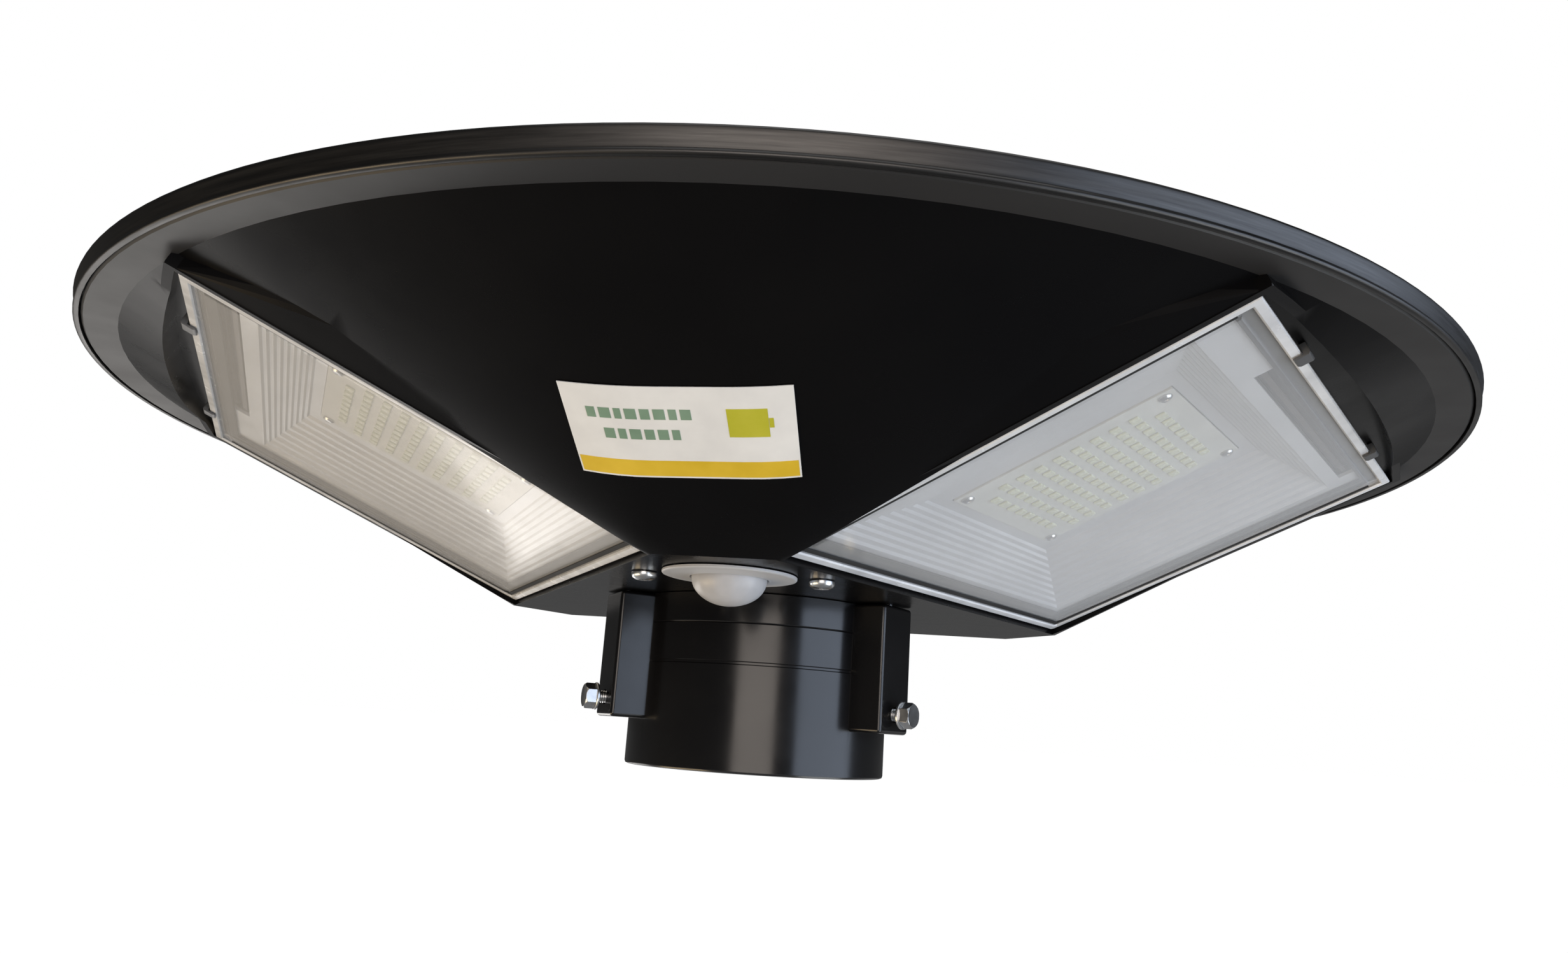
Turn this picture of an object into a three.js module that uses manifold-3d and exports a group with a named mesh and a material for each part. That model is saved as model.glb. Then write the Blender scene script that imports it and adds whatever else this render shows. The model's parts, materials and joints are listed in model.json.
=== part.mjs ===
// All-in-one solar street lamp: a round solar panel on top, a dish-shaped housing with three slanted LED
// modules below it, a motion-sensor dome and a pole collar with three clamp bolts under the hub.
// Millimetres, +Z up. The origin is the centre of the collar's bottom ring, and azimuths are measured
// from -Y towards +X, so the side with the label and the sensor dome faces -Y.

import * as THREE from "three";
import { ConvexGeometry } from "three/addons/geometries/ConvexGeometry.js";
import { mergeVertices } from "three/addons/utils/BufferGeometryUtils.js";
import Module from "manifold-3d";

const wasm = await Module();
wasm.setup();

// ---- Driving dimensions -------------------------------------------------------------------------------

const GAP = 0.3; // clearance between pieces that touch
const DEG = Math.PI / 180;

// Rim and solar panel
const RIM_RADIUS = 215; // half of the 430 mm over-all diameter
const RIM_TOP = 113;
const RIM_BOTTOM = 107.3; // lower edge of the metal band
const RIM_DRAFT = 0.9; // the band is this much narrower at its lower edge
const BAND_THICKNESS = 1.2;
const LIP_WIDTH = 9.5; // the lip that folds over the glass
const LIP_THICKNESS = 0.7;
const RIM_SEGMENTS = 72;
const GLASS_THICKNESS = 1.6;
const CELL_THICKNESS = 0.3;
const SEAL_WIDTH = 6;
const CELL_RADIUS = 198;
const WAFER_PITCH = 66;

// Housing: a dish from the shoulder ring down to the hub plate
const SHOULDER_RADIUS = 204;
const SHOULDER_Z = 107.5;
const FLANGE_TOP = 109.1;
const WALL = 3;
const HUB_Z = 54.6; // underside of the hub plate
const HUB_SIDE = 69.5; // axis to each long side of the hub plate, under a module
const HUB_CORNER = 112; // axis to each cut corner of the hub plate, between modules

// LED modules: 120 degrees apart, each on its own slanted plane
const MODULE_AZIMUTHS = [60, 180, 300];
const GAP_AZIMUTHS = [0, 120, 240];
const MODULE_SLOPE = 22.65;
const MODULE_Z = 56.35; // height of the module's inner edge
const MODULE_LENGTH = 123.5; // up the slope
const MODULE_WIDTH = 172; // round the axis
const COVER_THICKNESS = 2.2;
const COVER_CORNER = 1; // cut corners at the hub end
const COVER_CLEARANCE = 0.6;
const CRESCENT = 6.5; // depth of the curved gap past the outer edge of the cover
const FRAME_MARGIN = 2.8; // the frame's outer face is this far outside the cover
const FLARE = { width: 16, height: 5 }; // slope from the frame up to the dish
const TRAY_INSET = 3; // tray and gasket are this much smaller than the cover, all round
const TRAY_CORNER = 1;
const GASKET_THICKNESS = 0.8;
const GASKET_WIDTH = 4;
const TRAY_WALL = 1;
const TRAY_MOUTH = { x: 79, low: 7, high: 108 }; // opening of the tray in its flange
const TRAY_FLOOR = { x: 42, low: 23, high: 97 }; // floor of the tray
const TRAY_NOTCH = { x0: -70, x1: 40, low: 111.6 }; // notch in the flange's outer end
const TRAY_DEPTH = 14.4;
const BOARD_SIZE = 66;
const BOARD_CENTRE = 60; // from the module's inner edge
const BOARD_THICKNESS = 1.6;
const LED_FIELD = 58;

// Two hooks that hold the cover's outer edge
const CLIP = { offset: 47, halfWidth: 2.6, depth: 1.6, overlap: 2.6, lowest: -1 };


// Pole collar
const COLLAR_RADIUS = 43.2;
const BORE_RADIUS = 39.4;
const COLLAR_TOP = HUB_Z - GAP;
const EAR_RADIUS = 53.6; // axis to the outer face of an ear
const EAR_START = 20;
const EAR_WIDTH = 17.5;
const EAR_BOTTOM = 14.5;
const BOLT_Z = 20.5;
const BOLT_RADIUS = 2;
const BOLT_TIP = 40; // axis to the tip of the bolt, just clear of the bore
const WASHER_START = 56.2;
const WASHER_THICKNESS = 0.8;
const WASHER_RADIUS = 4.3;
const BOLT_HEAD_LENGTH = 3.4;
const BOLT_ACROSS_FLATS = 7;
const BOLT_HOLE_RADIUS = 2.4;
const INSERT_RADIUS = 3.5;
const INSERT_END = 50.5; // the insert's outer end, behind the ear's face
const BACKING_INNER = 38;
const BACKING_OUTER = 55;
const BACKING_THICKNESS = 2;
const SCREW_CIRCLE = 49;
const SCREW_HOLE_RADIUS = 2.3;
const SCREW_RADIUS = 2;
const SCREW_HEAD_RADIUS = 3.8;
const SCREW_DEPTH = 12; // into the collar
const SCREW_PILOT_DEPTH = 14;

// Sensor and switch in the hub plate
const SENSOR_Y = -83;
const SENSOR_FLANGE_RADIUS = 18.6;
const SENSOR_NECK_RADIUS = 13.6;
const LENS_RADIUS = 10.4;
const LENS_BOTTOM = 45.6;
const BEZEL_BOTTOM = 53; // lower edge of the cone round the lens
const SWITCH_X = -34.5;
const SWITCH_Y = 54.5;
const BUTTON_RADIUS = 4.7;
const SWITCH_NECK_RADIUS = 7;
const NUT_RADIUS = 9;
const NUT_HEIGHT = 3;
const SENSOR_BOARD_HALF = 13;

// Screws beside the sensor that hold the controller's bracket: place, and radii of hole, shank and head
const BRACKET_SCREW = { x: 25, y: -78, hole: 1.9, shank: 1.5, head: 3.6, headHeight: 2.2 };

// Inside
const CELL_CAN_RADIUS = 16.2; // 32 mm cells
const CELL_CAN_LENGTH = 70;
const CELL_PITCH = 33;
const BATTERY_Y = 19; // middle of the cells along Y
const TRAY_Z = 70;
const BATTERY_TRAY = { x: 51.5, y0: -19.5, y1: 57.5, wall: 1.5, height: 14, floor: 1.6 };
const BRACKET_THICKNESS = 1.6;

// Label on the dish: radius and offset place its middle, turn is in degrees
const LABEL = { width: 51.2, height: 28, radius: 149.4, offset: -2.4, turn: -1.6, thickness: 0.25 };

// ---- Looks --------------------------------------------------------------------------------------------

const LOOKS = {
  blackGloss: { color: 0x0b0c0e, roughness: 0.22, metalness: 0 },
  blackCollar: { color: 0x101114, roughness: 0.16, metalness: 0 },
  frameMetal: { color: 0x4a525c, roughness: 0.35, metalness: 0.85 },
  glass: { color: 0xcfe0ea, roughness: 0.05, metalness: 0, transparent: true, opacity: 0.35 },
  silicon: { color: 0x101a38, roughness: 0.3, metalness: 0.2 },
  sheet: { color: 0xe6e8ea, roughness: 0.7, metalness: 0 },
  rubber: { color: 0x1a1a1b, roughness: 0.85, metalness: 0 },
  clearCover: { color: 0xe8edf0, roughness: 0.08, metalness: 0, transparent: true, opacity: 0.35 },
  reflector: { color: 0xc9ccd2, roughness: 0.3, metalness: 0.6 },
  circuit: { color: 0xd9d6bb, roughness: 0.5, metalness: 0 },
  greenCircuit: { color: 0x1c5a34, roughness: 0.5, metalness: 0 },
  steel: { color: 0xb9bcc0, roughness: 0.3, metalness: 1 },
  brass: { color: 0xb48a45, roughness: 0.35, metalness: 1 },
  whiteLens: { color: 0xe9e9ea, roughness: 0.4, metalness: 0 },
  clipGrey: { color: 0x4c4d50, roughness: 0.4, metalness: 0 },
  greyPlastic: { color: 0xb5b6b8, roughness: 0.5, metalness: 0 },
  blackPlastic: { color: 0x191a1c, roughness: 0.5, metalness: 0 },
  cellWrap: { color: 0x1f5fa8, roughness: 0.4, metalness: 0 },
  label: { color: 0xf1f2f0, roughness: 0.35, metalness: 0 },
  lead: { color: 0x7d1c1c, roughness: 0.5, metalness: 0 },
};

// ---- Solids and placing -------------------------------------------------------------------------------

// Turns a closed three.js geometry into a manifold solid, moved by the matrix if there is one.
function solidOf(geometry, matrix = new THREE.Matrix4()) {
  const loose = geometry.index ? geometry.toNonIndexed() : geometry.clone();
  const bare = new THREE.BufferGeometry();
  bare.setAttribute("position", loose.getAttribute("position"));
  bare.applyMatrix4(matrix);
  const merged = mergeVertices(bare, 1e-4);
  return new wasm.Manifold(
    new wasm.Mesh({
      numProp: 3,
      vertProperties: merged.attributes.position.array,
      triVerts: new Uint32Array(merged.index.array),
    }),
  );
}

function geometryOf(solid) {
  const mesh = solid.getMesh();
  const positions = new Float32Array(mesh.numVert * 3);
  for (let i = 0; i < mesh.numVert; i++) {
    positions.set(mesh.vertProperties.subarray(i * mesh.numProp, i * mesh.numProp + 3), i * 3);
  }
  const geometry = new THREE.BufferGeometry();
  geometry.setAttribute("position", new THREE.BufferAttribute(positions, 3));
  geometry.setIndex(new THREE.BufferAttribute(mesh.triVerts, 1));
  geometry.computeVertexNormals();
  return geometry;
}

function shift(x, y, z) {
  return new THREE.Matrix4().makeTranslation(x, y, z);
}

function joined(solids) {
  return solids.reduce((whole, next) => whole.add(next));
}

// A box between two corners.
function block(x0, x1, y0, y1, z0, z1) {
  const box = new THREE.BoxGeometry(x1 - x0, y1 - y0, z1 - z0);
  return solidOf(box, shift((x0 + x1) / 2, (y0 + y1) / 2, (z0 + z1) / 2));
}

// A solid of revolution about Z from [radius, height] points, anticlockwise seen with +Z up.
// A profile that leaves the axis is closed on itself.
function revolved(profile, segments = 32) {
  const points = profile.map(([radius, height]) => new THREE.Vector2(radius, height));
  if (profile[0][0] > 0) points.push(points[0].clone());
  return solidOf(new THREE.LatheGeometry(points, segments).rotateX(Math.PI / 2));
}

// A round or many-sided bar about Z.
function bar(radius, z0, z1, segments = 24, matrix = new THREE.Matrix4()) {
  const cylinder = new THREE.CylinderGeometry(radius, radius, z1 - z0, segments).rotateX(Math.PI / 2);
  cylinder.translate(0, 0, (z0 + z1) / 2);
  return solidOf(cylinder, matrix);
}

// A ring about Z with a rectangular section.
function ring(inner, outer, z0, z1, segments = 32) {
  return bar(outer, z0, z1, segments).subtract(bar(inner, z0 - 1, z1 + 1, segments));
}

// A flat outline in X and Y, extruded from z0 to z1.
function slab(shape, z0, z1) {
  const options = { depth: z1 - z0, bevelEnabled: false, curveSegments: 12 };
  return solidOf(new THREE.ExtrudeGeometry(shape, options), shift(0, 0, z0));
}

// A tube along a smooth curve through the points, for an insulated lead.
function tube(points, radius, steps) {
  const path = new THREE.CatmullRomCurve3(points.map((p) => new THREE.Vector3(...p)));
  const section = new THREE.Shape();
  section.absarc(0, 0, radius, 0, 2 * Math.PI, false);
  const options = { steps, extrudePath: path, bevelEnabled: false, curveSegments: 4 };
  return solidOf(new THREE.ExtrudeGeometry(section, options));
}

function outward(azimuth) {
  return new THREE.Vector3(Math.sin(azimuth * DEG), -Math.cos(azimuth * DEG), 0);
}

// Turns +X to point outward at an azimuth.
function turned(azimuth) {
  return new THREE.Matrix4().makeRotationZ((azimuth - 90) * DEG);
}

// The frame of one LED module: X runs round the axis, Y up the slope from the inner edge, and Z into
// the housing. Z = 0 is the outer face of the cover.
function moduleFrame(azimuth) {
  const out = outward(azimuth);
  const cos = Math.cos(MODULE_SLOPE * DEG);
  const sin = Math.sin(MODULE_SLOPE * DEG);
  const slope = out.clone().multiplyScalar(cos).setZ(sin);
  const inward = out.clone().multiplyScalar(-sin).setZ(cos);
  const across = new THREE.Vector3().crossVectors(slope, inward);
  const matrix = new THREE.Matrix4().makeBasis(across, slope, inward);
  return matrix.setPosition(out.multiplyScalar(HUB_SIDE).setZ(MODULE_Z));
}

const lamp = new THREE.Group();

// Adds one named piece to the lamp.
function add(name, solid, look) {
  const mesh = new THREE.Mesh(geometryOf(solid), new THREE.MeshStandardMaterial(LOOKS[look]));
  mesh.name = name;
  lamp.add(mesh);
}

// ---- Housing ------------------------------------------------------------------------------------------

// The dish as a convex solid: the hull of the cut-cornered hub triangle and the shoulder circle, with
// every face moved out by the offset.
function dish(offset) {
  const meanSlope = 26 * DEG;
  const side = HUB_SIDE + offset * Math.tan(meanSlope / 2);
  const corner = HUB_CORNER + offset * Math.tan(meanSlope / 2);
  const halfCut = (2 * side - corner) * Math.tan(30 * DEG);
  const radius = SHOULDER_RADIUS + offset / Math.sin(meanSlope);
  const points = [];
  for (const azimuth of GAP_AZIMUTHS) {
    const out = outward(azimuth).multiplyScalar(corner).setZ(HUB_Z - offset);
    const along = outward(azimuth + 90).multiplyScalar(halfCut);
    points.push(out.clone().add(along), out.clone().sub(along));
  }
  for (let i = 0; i < RIM_SEGMENTS; i++) {
    points.push(outward((360 * i) / RIM_SEGMENTS).multiplyScalar(radius).setZ(SHOULDER_Z));
  }
  return solidOf(new ConvexGeometry(points));
}

// Outline of a module opening: the cover's rectangle grown by a margin, with a curved outer end.
function pocketShape(margin) {
  const half = MODULE_WIDTH / 2 + margin;
  const end = MODULE_LENGTH + margin;
  const shape = new THREE.Shape();
  shape.moveTo(-half, -margin);
  shape.lineTo(half, -margin);
  shape.lineTo(half, end);
  shape.quadraticCurveTo(0, end + 2 * CRESCENT, -half, end);
  return shape;
}

// A plain rectangle in the module's plane, inset from the cover's edge.
function insetShape(inset, corner = 0) {
  const half = MODULE_WIDTH / 2 - inset;
  const end = MODULE_LENGTH - inset;
  const shape = new THREE.Shape();
  shape.moveTo(-half + corner, inset);
  shape.lineTo(half - corner, inset);
  if (corner) shape.lineTo(half, inset + corner);
  shape.lineTo(half, end);
  shape.lineTo(-half, end);
  if (corner) shape.lineTo(-half, inset + corner);
  return shape;
}

// The wall that surrounds one module: as tall as the dish or the module's plane asks, with a ledge
// under the cover's edge.
function moduleFrameWall(azimuth, skin) {
  const wall = slab(pocketShape(FRAME_MARGIN), -12, 5);
  const above = block(-120, 120, -20, 160, 0, 40);
  const here = moduleFrame(azimuth).toArray();
  return wall.transform(here).intersect(skin.add(above.transform(here)));
}

// The slope round a module's frame that leads up to the dish. It starts from nothing at the hub.
function moduleFlare(azimuth, hollow) {
  const { clamp } = THREE.MathUtils;
  const side = MODULE_WIDTH / 2 + FRAME_MARGIN;
  const narrow = pocketShape(FRAME_MARGIN).getPoints(12);
  const wide = pocketShape(FRAME_MARGIN + FLARE.width).getPoints(12);
  const points = narrow.map(({ x, y }) => new THREE.Vector3(x, y, 0));
  for (const { x, y } of wide) {
    const reach = side + FLARE.width * clamp(y / MODULE_LENGTH, 0, 1);
    points.push(new THREE.Vector3(clamp(x, -reach, reach), Math.max(y, 0), FLARE.height));
  }
  return solidOf(new ConvexGeometry(points), moduleFrame(azimuth)).subtract(hollow);
}

function moduleCut(azimuth) {
  const pocket = slab(pocketShape(COVER_CLEARANCE), -30, COVER_THICKNESS + GAP);
  const through = slab(insetShape(TRAY_INSET - COVER_CLEARANCE), -30, 30);
  return pocket.add(through).transform(moduleFrame(azimuth).toArray());
}

// A cutter for a round hole through the hub plate.
function hubHole(radius, x, y, segments) {
  return bar(radius, HUB_Z - 5, HUB_Z + 5, segments, shift(x, y, 0));
}

function housing() {
  const skin = dish(0);
  const hollow = dish(-WALL).add(bar(SHOULDER_RADIUS - 7, SHOULDER_Z - 1, FLANGE_TOP + 1, RIM_SEGMENTS));
  const flangeRadius = RIM_RADIUS - RIM_DRAFT - BAND_THICKNESS - GAP;
  const flange = bar(flangeRadius, SHOULDER_Z, FLANGE_TOP, RIM_SEGMENTS);
  let shell = skin.add(flange).subtract(hollow);
  const keep = bar(SHOULDER_RADIUS + 2, 0, FLANGE_TOP, RIM_SEGMENTS);
  for (const azimuth of MODULE_AZIMUTHS) {
    const frame = moduleFrameWall(azimuth, skin).add(moduleFlare(azimuth, hollow));
    shell = shell.add(frame.intersect(keep));
  }
  for (const azimuth of MODULE_AZIMUTHS) {
    shell = shell.subtract(moduleCut(azimuth));
    const at = outward(azimuth).multiplyScalar(SCREW_CIRCLE);
    shell = shell.subtract(hubHole(SCREW_HOLE_RADIUS, at.x, at.y, 16));
  }
  for (const side of [-1, 1]) {
    const { x, y } = BRACKET_SCREW;
    shell = shell.subtract(hubHole(BRACKET_SCREW.hole, side * x, y, 12));
  }
  shell = shell.subtract(hubHole(SENSOR_NECK_RADIUS + 0.4, 0, SENSOR_Y, 32));
  return shell.subtract(hubHole(SWITCH_NECK_RADIUS + 0.4, SWITCH_X, SWITCH_Y, 24));
}

add("lower_housing", housing(), "blackGloss");

// ---- Solar panel and its rim --------------------------------------------------------------------------

const glassTop = RIM_TOP - LIP_THICKNESS - 0.2;
const glassRadius = RIM_RADIUS - RIM_DRAFT - BAND_THICKNESS - GAP;
const lipRadius = RIM_RADIUS - LIP_WIDTH;

add(
  "rim_frame",
  revolved(
    [
      [glassRadius + GAP, RIM_BOTTOM],
      [RIM_RADIUS - RIM_DRAFT, RIM_BOTTOM],
      [RIM_RADIUS, RIM_TOP - 1],
      [RIM_RADIUS - 1, RIM_TOP],
      [lipRadius, RIM_TOP],
      [lipRadius, RIM_TOP - LIP_THICKNESS],
      [glassRadius + GAP, RIM_TOP - LIP_THICKNESS],
    ],
    RIM_SEGMENTS,
  ),
  "frameMetal",
);
add("panel_glass", bar(glassRadius, glassTop - GLASS_THICKNESS, glassTop, RIM_SEGMENTS), "glass");

// The cells: one round sheet cut into strips of wafers, joined by two bus ribbons.
function cellSheet() {
  const top = glassTop - GLASS_THICKNESS - 0.2;
  const low = top - CELL_THICKNESS;
  const far = CELL_RADIUS + 1;
  const lines = [-2, -1, 0, 1, 2].map((i) => i * WAFER_PITCH);
  const slots = lines.map((x) => block(x - 1, x + 1, -far, far, low - 1, top + 1));
  const reach = 2.5 * WAFER_PITCH;
  const ribbons = [-20, 20].map((y) => block(-reach, reach, y - 2, y + 2, low, top));
  const wafers = bar(CELL_RADIUS, low, top, RIM_SEGMENTS).subtract(joined(slots));
  return wafers.add(joined(ribbons));
}

add("solar_cells", cellSheet(), "silicon");

const sheetTop = glassTop - GLASS_THICKNESS - 0.2 - CELL_THICKNESS - 0.1;
const sheetLow = FLANGE_TOP + 0.2;
const sealRadius = glassRadius - SEAL_WIDTH;
add("panel_backsheet", bar(sealRadius - GAP, sheetLow, sheetTop, RIM_SEGMENTS), "sheet");
add("rim_seal", ring(sealRadius, glassRadius, sheetLow, sheetTop, RIM_SEGMENTS), "rubber");
add("junction_box", block(-25, 25, -80, -46, FLANGE_TOP - 9, FLANGE_TOP - 0.1), "blackPlastic");

// ---- LED modules --------------------------------------------------------------------------------------

// A straight-sided hollow that narrows from a wide rectangle to a smaller one.
function taper(mouth, floor, z0, z1, grow) {
  const points = [];
  for (const [end, z] of [[mouth, z0], [floor, z1]]) {
    for (const x of [-end.x - grow, end.x + grow]) {
      for (const y of [end.low - grow, end.high + grow]) points.push(new THREE.Vector3(x, y, z));
    }
  }
  return solidOf(new ConvexGeometry(points));
}

const gasketZ = COVER_THICKNESS + GAP;
const flangeZ = gasketZ + GASKET_THICKNESS + GAP;

function reflectorTray() {
  const rim = slab(insetShape(TRAY_INSET, TRAY_CORNER), flangeZ, flangeZ + TRAY_WALL);
  const outer = taper(TRAY_MOUTH, TRAY_FLOOR, flangeZ, TRAY_DEPTH + TRAY_WALL, TRAY_WALL);
  const inner = taper(TRAY_MOUTH, TRAY_FLOOR, flangeZ - 0.01, TRAY_DEPTH, 0);
  const window = BOARD_SIZE / 2 + GAP;
  const opening = block(
    -window, window, BOARD_CENTRE - window, BOARD_CENTRE + window, TRAY_DEPTH - 1, TRAY_DEPTH + 3,
  );
  const { x0, x1, low } = TRAY_NOTCH;
  const notch = block(x0, x1, low, MODULE_LENGTH, flangeZ - 1, flangeZ + 3);
  return rim.add(outer).subtract(inner).subtract(opening).subtract(notch);
}

// A circuit board with the raised field that its LEDs fill.
function ledBoard() {
  const half = BOARD_SIZE / 2;
  const field = LED_FIELD / 2;
  const low = TRAY_DEPTH - 0.6;
  const board = block(-half, half, BOARD_CENTRE - half, BOARD_CENTRE + half, low, low + BOARD_THICKNESS);
  return board.add(block(-field, field, BOARD_CENTRE - field, BOARD_CENTRE + field, low - 0.7, low + 0.1));
}

// A hook that holds the cover's outer edge, seated in the curved gap.
function coverClip(side) {
  const x0 = side * CLIP.offset - CLIP.halfWidth;
  const x1 = side * CLIP.offset + CLIP.halfWidth;
  const end = MODULE_LENGTH + GAP;
  const nose = block(x0, x1, end - CLIP.overlap, end + CLIP.depth, CLIP.lowest, -GAP);
  return nose.add(block(x0, x1, end, end + CLIP.depth, -GAP - 0.1, COVER_THICKNESS));
}

MODULE_AZIMUTHS.forEach((azimuth, index) => {
  const number = index + 1;
  const here = moduleFrame(azimuth).toArray();
  const cover = slab(insetShape(0, COVER_CORNER), 0, COVER_THICKNESS);
  const gasketTop = gasketZ + GASKET_THICKNESS;
  const gasketHole = slab(insetShape(TRAY_INSET + GASKET_WIDTH), gasketZ - 1, gasketTop + 1);
  const gasketPlate = slab(insetShape(TRAY_INSET, TRAY_CORNER), gasketZ, gasketTop);
  add("led_cover_" + number, cover.transform(here), "clearCover");
  add("led_gasket_" + number, gasketPlate.subtract(gasketHole).transform(here), "rubber");
  add("reflector_tray_" + number, reflectorTray().transform(here), "reflector");
  add("led_board_" + number, ledBoard().transform(here), "circuit");
  add("cover_clip_" + number + "a", coverClip(-1).transform(here), "clipGrey");
  add("cover_clip_" + number + "b", coverClip(1).transform(here), "clipGrey");
});

// ---- Pole collar and its clamp bolts ------------------------------------------------------------------

// Places a piece made about Z on the axis of a clamp bolt, its +Z pointing outward.
function onBoltAxis(solid, azimuth) {
  return solid.rotate([0, 90, 0]).translate([0, 0, BOLT_Z]).transform(turned(azimuth).toArray());
}

function poleCollar() {
  let collar = bar(COLLAR_RADIUS, 0, COLLAR_TOP, 48);
  for (const azimuth of MODULE_AZIMUTHS) {
    const ear = block(EAR_START, EAR_RADIUS, -EAR_WIDTH / 2, EAR_WIDTH / 2, EAR_BOTTOM, COLLAR_TOP);
    collar = collar.add(ear.transform(turned(azimuth).toArray()));
  }
  collar = collar.subtract(bar(BORE_RADIUS, -1, COLLAR_TOP + 1, 48));
  for (const azimuth of MODULE_AZIMUTHS) {
    const seat = bar(INSERT_RADIUS + GAP, BORE_RADIUS - 5, INSERT_END + GAP, 20);
    const hole = seat.add(bar(BOLT_HOLE_RADIUS, BORE_RADIUS, EAR_RADIUS + 1, 16));
    const pilotStart = COLLAR_TOP - SCREW_PILOT_DEPTH;
    const pilot = bar(SCREW_HOLE_RADIUS, pilotStart, COLLAR_TOP + 1, 16, shift(SCREW_CIRCLE, 0, 0));
    const here = turned(azimuth).toArray();
    collar = collar.subtract(onBoltAxis(hole, azimuth)).subtract(pilot.transform(here));
  }
  return collar;
}

add("pole_collar", poleCollar(), "blackCollar");

function clampBolt() {
  const headStart = WASHER_START + WASHER_THICKNESS;
  const shank = bar(BOLT_RADIUS, BOLT_TIP, headStart, 16);
  const washer = bar(WASHER_RADIUS, WASHER_START, headStart, 20);
  const hexRadius = BOLT_ACROSS_FLATS / 2 / Math.cos(30 * DEG);
  const head = bar(hexRadius, headStart, headStart + BOLT_HEAD_LENGTH, 6);
  return joined([shank, washer, head]);
}

MODULE_AZIMUTHS.forEach((azimuth, index) => {
  const number = index + 1;
  const insert = ring(BOLT_HOLE_RADIUS, INSERT_RADIUS, BORE_RADIUS + 1.2, INSERT_END, 20);
  const at = outward(azimuth).multiplyScalar(SCREW_CIRCLE);
  const backingTop = HUB_Z + WALL + GAP + BACKING_THICKNESS;
  const shank = bar(SCREW_RADIUS, COLLAR_TOP - SCREW_DEPTH, backingTop + 1, 12);
  const screw = shank.add(bar(SCREW_HEAD_RADIUS, backingTop + GAP, backingTop + 2.7, 12));
  add("clamp_bolt_" + number, onBoltAxis(clampBolt(), azimuth), "steel");
  add("clamp_insert_" + number, onBoltAxis(insert, azimuth), "brass");
  add("collar_screw_" + number, screw.translate([at.x, at.y, 0]), "steel");
});

function backingPlate() {
  const z0 = HUB_Z + WALL + GAP;
  let plate = ring(BACKING_INNER, BACKING_OUTER, z0, z0 + BACKING_THICKNESS, 32);
  for (const azimuth of MODULE_AZIMUTHS) {
    const at = outward(azimuth).multiplyScalar(SCREW_CIRCLE);
    plate = plate.subtract(bar(SCREW_HOLE_RADIUS, z0 - 1, z0 + 5, 16, shift(at.x, at.y, 0)));
  }
  return plate;
}

add("backing_plate", backingPlate(), "steel");

// ---- Motion sensor ------------------------------------------------------------------------------------

const sensor = [0, SENSOR_Y, 0];
const sensorFlange = revolved(
  [
    [LENS_RADIUS + GAP, BEZEL_BOTTOM],
    [LENS_RADIUS + 1.2, BEZEL_BOTTOM],
    [SENSOR_FLANGE_RADIUS, HUB_Z - 1.1],
    [SENSOR_FLANGE_RADIUS, HUB_Z - GAP],
    [SENSOR_NECK_RADIUS, HUB_Z - GAP],
    [SENSOR_NECK_RADIUS, HUB_Z + 8],
    [LENS_RADIUS + GAP, HUB_Z + 8],
  ],
  32,
);
add("sensor_bezel", sensorFlange.translate(sensor), "greyPlastic");

// A thin-walled dome: an elliptical bowl below a short straight skirt.
function lensDome() {
  const skirtTop = HUB_Z + 6;
  const springing = BEZEL_BOTTOM;
  const steps = 6;
  const bowl = (radius, bottom) => {
    const points = [];
    for (let i = 0; i <= steps; i++) {
      const angle = (i / steps) * 90 * DEG;
      points.push([radius * Math.sin(angle), springing - (springing - bottom) * Math.cos(angle)]);
    }
    return points;
  };
  const outer = bowl(LENS_RADIUS, LENS_BOTTOM);
  const inner = bowl(LENS_RADIUS - 1, LENS_BOTTOM + 1);
  const skirt = [[LENS_RADIUS, skirtTop], [LENS_RADIUS - 1, skirtTop]];
  return revolved([...outer, ...skirt, ...inner.reverse()], 24);
}

add("sensor_lens", lensDome().translate(sensor), "whiteLens");

const boardLow = HUB_Z + 8.3;
const half = SENSOR_BOARD_HALF;
const sensorPlate = block(-half, half, -half, half, boardLow, boardLow + BOARD_THICKNESS);
const detector = bar(4.6, HUB_Z + 2, boardLow + 0.7, 20);
add("sensor_board", sensorPlate.add(detector).translate(sensor), "greenCircuit");

// ---- Power switch -------------------------------------------------------------------------------------

const switchPlace = [SWITCH_X, SWITCH_Y, 0];
const switchSleeve = revolved(
  [
    [BUTTON_RADIUS + GAP, HUB_Z - 2],
    [8.5, HUB_Z - 2],
    [9, HUB_Z - 1.5],
    [9, HUB_Z - GAP],
    [SWITCH_NECK_RADIUS, HUB_Z - GAP],
    [SWITCH_NECK_RADIUS, HUB_Z + 10],
    [0, HUB_Z + 10],
    [0, HUB_Z + 7.4],
    [BUTTON_RADIUS + GAP, HUB_Z + 7.4],
  ],
  24,
);
add("switch_body", switchSleeve.translate(switchPlace), "blackPlastic");

const nutBottom = HUB_Z + WALL + GAP;
const nutHole = bar(SWITCH_NECK_RADIUS + GAP, HUB_Z, HUB_Z + 9, 24);
const switchNut = bar(NUT_RADIUS, nutBottom, nutBottom + NUT_HEIGHT, 6).subtract(nutHole);
add("switch_nut", switchNut.translate(switchPlace), "steel");

const button = bar(BUTTON_RADIUS, HUB_Z - 3.4, HUB_Z + 4.8, 24);
add("power_button", button.translate(switchPlace), "rubber");

// ---- Battery and controller ---------------------------------------------------------------------------

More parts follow.
